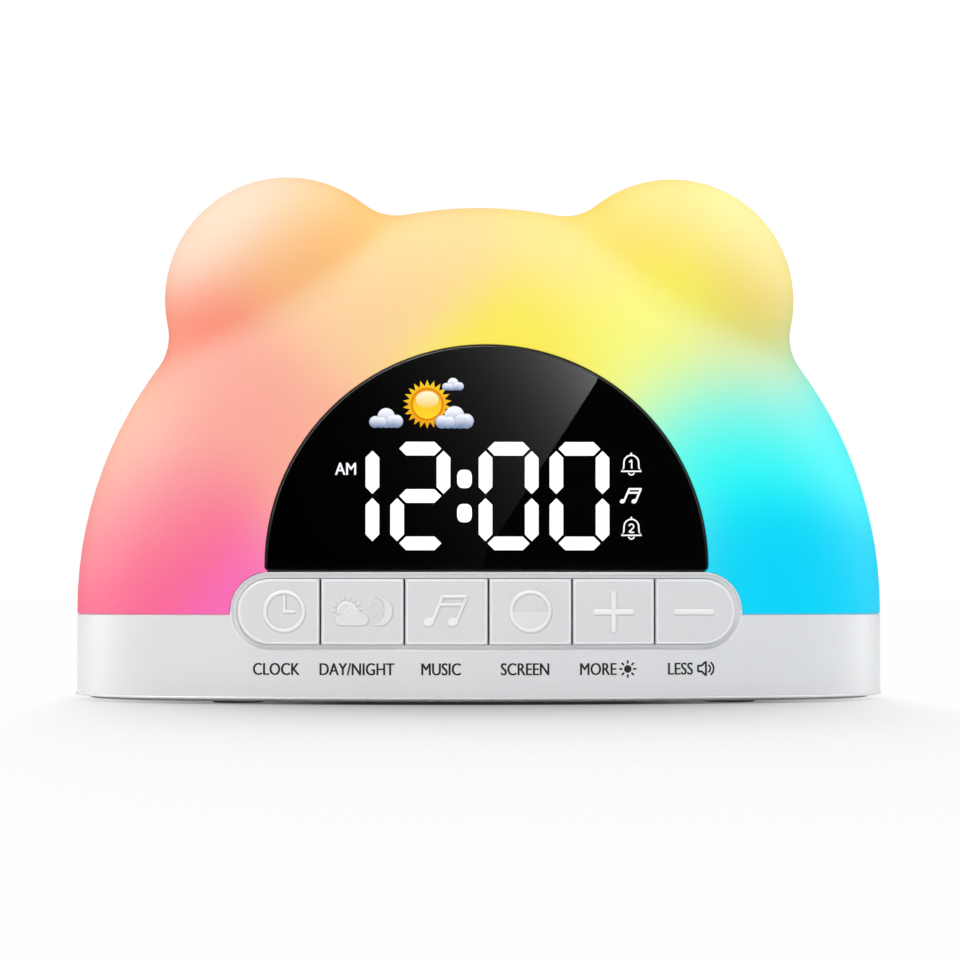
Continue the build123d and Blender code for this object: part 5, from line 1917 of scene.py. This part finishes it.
@dataclass
class Studio:
    """Pale floor, soft light, a reflection card for the lens and the camera. Places are in metres."""

    floor_reach: float = 6.0
    floor_white: float = 0.99
    floor_darkest: float = 0.02
    floor_bounce: float = 0.85
    shadow_reach: float = 0.35
    shadow_samples: int = 16
    shadow_depth: float = 1.03
    shadow_spread: float = 0.59
    shadow_width: float = 0.0854
    shadow_fall: float = 2.6
    shadow_back: float = 0.12
    card_y: float = -0.75
    card_corners: Sequence[Place] = ((-0.45, 0.0), (-0.048, 0.0), (0.37, 0.646), (-0.45, 0.646))
    card_fade: Place = (8.6, 4.4)
    card_bright_spot: Place = (0.279, 0.506)
    card_strength: float = 4.0
    camera_place: Spot = (-0.0272, -0.6494, 0.0216)
    camera_aim: Spot = (0.0, 0.0, 0.0436)
    focal_length: float = 121.9
    sensor_width: float = 36.0
    nearest_seen: float = 0.01
    surround: float = 0.3
    mirrored: float = 0.02
    lights: Sequence[Softbox] = (
        Softbox("overhead", (0.0, 0.2, 1.5), (0.0, 0.0, 0.0), (1.8, 0.9), 4.4),
        Softbox("front_fill", (-0.25, -1.6, 1.9), (0.0, 0.0, 0.05), (0.8, 0.6), 15.6),
        Softbox("left_strip", (-1.2, 0.45, 0.26), (0.0, 0.0, 0.05), (0.4, 0.6), 6.0),
        Softbox("right_strip", (1.2, 0.45, 0.26), (0.0, 0.0, 0.05), (0.4, 0.6), 5.8),
        Softbox("left_edge", (-0.85, -0.03, 0.9), (0.0, -0.03, 0.05), (0.4, 1.5), 15.0, mirrored_only=True),
        Softbox("right_edge", (0.95, -0.03, 0.75), (0.0, -0.03, 0.05), (0.4, 1.2), 6.0, mirrored_only=True),
    )

    def build_floor(self) -> None:
        """Adds the floor: white but for a soft shadow, bouncing light, and clear from below."""
        reach = self.floor_reach
        mesh = bpy.data.meshes.new("floor")
        mesh.from_pydata([(-reach, -reach, 0), (reach, -reach, 0), (reach, reach, 0), (-reach, reach, 0)], [],
                         [(0, 1, 2, 3)])
        floor = add_object("floor", mesh)
        made, wires, surface = stage_material("pale_floor")
        open_sky = wires.node("ShaderNodeAmbientOcclusion", samples=self.shadow_samples)
        wires.feed(open_sky.inputs["Distance"], self.shadow_reach)
        axes = wires.axes(wires.place())
        aside = wires.math("DIVIDE", wires.math("ABSOLUTE", axes[0]), self.shadow_width)
        depth = wires.span(wires.math("POWER", aside, self.shadow_fall), 0.0, 1.0, self.shadow_depth, 0.0)
        depth = wires.math("MULTIPLY", depth, wires.span(axes[1], 0.0, self.shadow_back, 1.0, 0.0))
        closed = wires.math("SUBTRACT", 1.0, open_sky.outputs["AO"])
        shade = wires.math("MULTIPLY", wires.math("POWER", closed, self.shadow_spread), depth)
        white = wires.math("MAXIMUM", wires.math("SUBTRACT", 1.0, shade), self.floor_darkest)
        shown = wires.node("ShaderNodeEmission")
        wires.feed(shown.inputs["Strength"], wires.math("MULTIPLY", white, self.floor_white))
        bounced = wires.node("ShaderNodeBsdfDiffuse", (self.floor_bounce,) * 3 + (1.0,))
        seen = wires.node("ShaderNodeLightPath").outputs["Is Camera Ray"]
        above = wires.join(seen, bounced.outputs[0], shown.outputs[0])
        below = wires.node("ShaderNodeBsdfTransparent").outputs[0]
        from_below = wires.node("ShaderNodeNewGeometry").outputs["Backfacing"]
        wires.feed(surface, wires.join(from_below, above, below))
        mesh.materials.append(made)

    def build_world(self) -> None:
        """Adds a white surround that is seen, but lights and reflects only a little."""
        world = bpy.data.worlds.new("surround")
        bpy.context.scene.world = world
        world.use_nodes = True
        wires = Wiring(world.node_tree)
        path = wires.node("ShaderNodeLightPath").outputs
        back = world.node_tree.nodes["Background"]
        wires.feed(back.inputs["Color"], (1.0, 1.0, 1.0, 1.0))
        fill = wires.math("MULTIPLY_ADD", path["Is Diffuse Ray"], self.surround, self.mirrored)
        wires.feed(back.inputs["Strength"], wires.math("MAXIMUM", path["Is Camera Ray"], fill))

    def build_card(self) -> None:
        """Adds the card that the lens mirrors: bright at its slanted right side, fading left and down."""
        mesh = bpy.data.meshes.new("reflection_card")
        mesh.from_pydata([(x, self.card_y, z) for x, z in self.card_corners], [], [(3, 2, 1, 0)])
        card = add_object("reflection_card", mesh)
        made, wires, surface = stage_material("card_light")
        fade = wires.vector("DOT_PRODUCT", wires.place(), (self.card_fade[0], 0.0, self.card_fade[1]),
                            result="Value")
        brightest = float(np.dot(self.card_fade, self.card_bright_spot))
        power = wires.math("POWER", math.e, wires.math("SUBTRACT", fade, brightest))
        glow = wires.node("ShaderNodeEmission")
        wires.feed(glow.inputs["Strength"], wires.math("MULTIPLY", power, self.card_strength))
        wires.feed(surface, glow.outputs[0])
        mesh.materials.append(made)
        for kind in ("camera", "diffuse", "shadow", "transmission", "volume_scatter"):
            setattr(card, f"visible_{kind}", False)

    def build_camera(self) -> None:
        """Adds the camera at the photograph's angle."""
        lens = bpy.data.cameras.new("camera")
        lens.lens = self.focal_length
        lens.sensor_width = self.sensor_width
        lens.clip_start = self.nearest_seen
        camera = add_object("camera", lens)
        camera.location = self.camera_place
        camera.rotation_euler = looking(self.camera_place, self.camera_aim)
        bpy.context.scene.camera = camera

    def build(self) -> None:
        """Adds the whole studio."""
        self.build_floor()
        self.build_world()
        self.build_card()
        for light in self.lights:
            light.build()
        self.build_camera()
        bpy.context.scene.view_settings.view_transform = "Standard"


def main() -> None:
    """Loads the frame, dresses it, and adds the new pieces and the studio."""
    logging.basicConfig(level=logging.INFO, format="%(name)s: %(message)s")
    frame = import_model()
    nodes = frame["nodes"]
    front = FrontForm.from_frame()
    Casing().dress(nodes, frame["record"])
    keys = KeyRow(front)
    keys.build()
    keys.build_highlight_rim()
    keys.dress(nodes)
    Keypad(keys).build(nodes)
    PrintedLabels(front, keys).build()
    display = Display()
    display.build(front)
    display.dress(nodes)
    Studio().build()


if __name__ == "__main__":
    main()
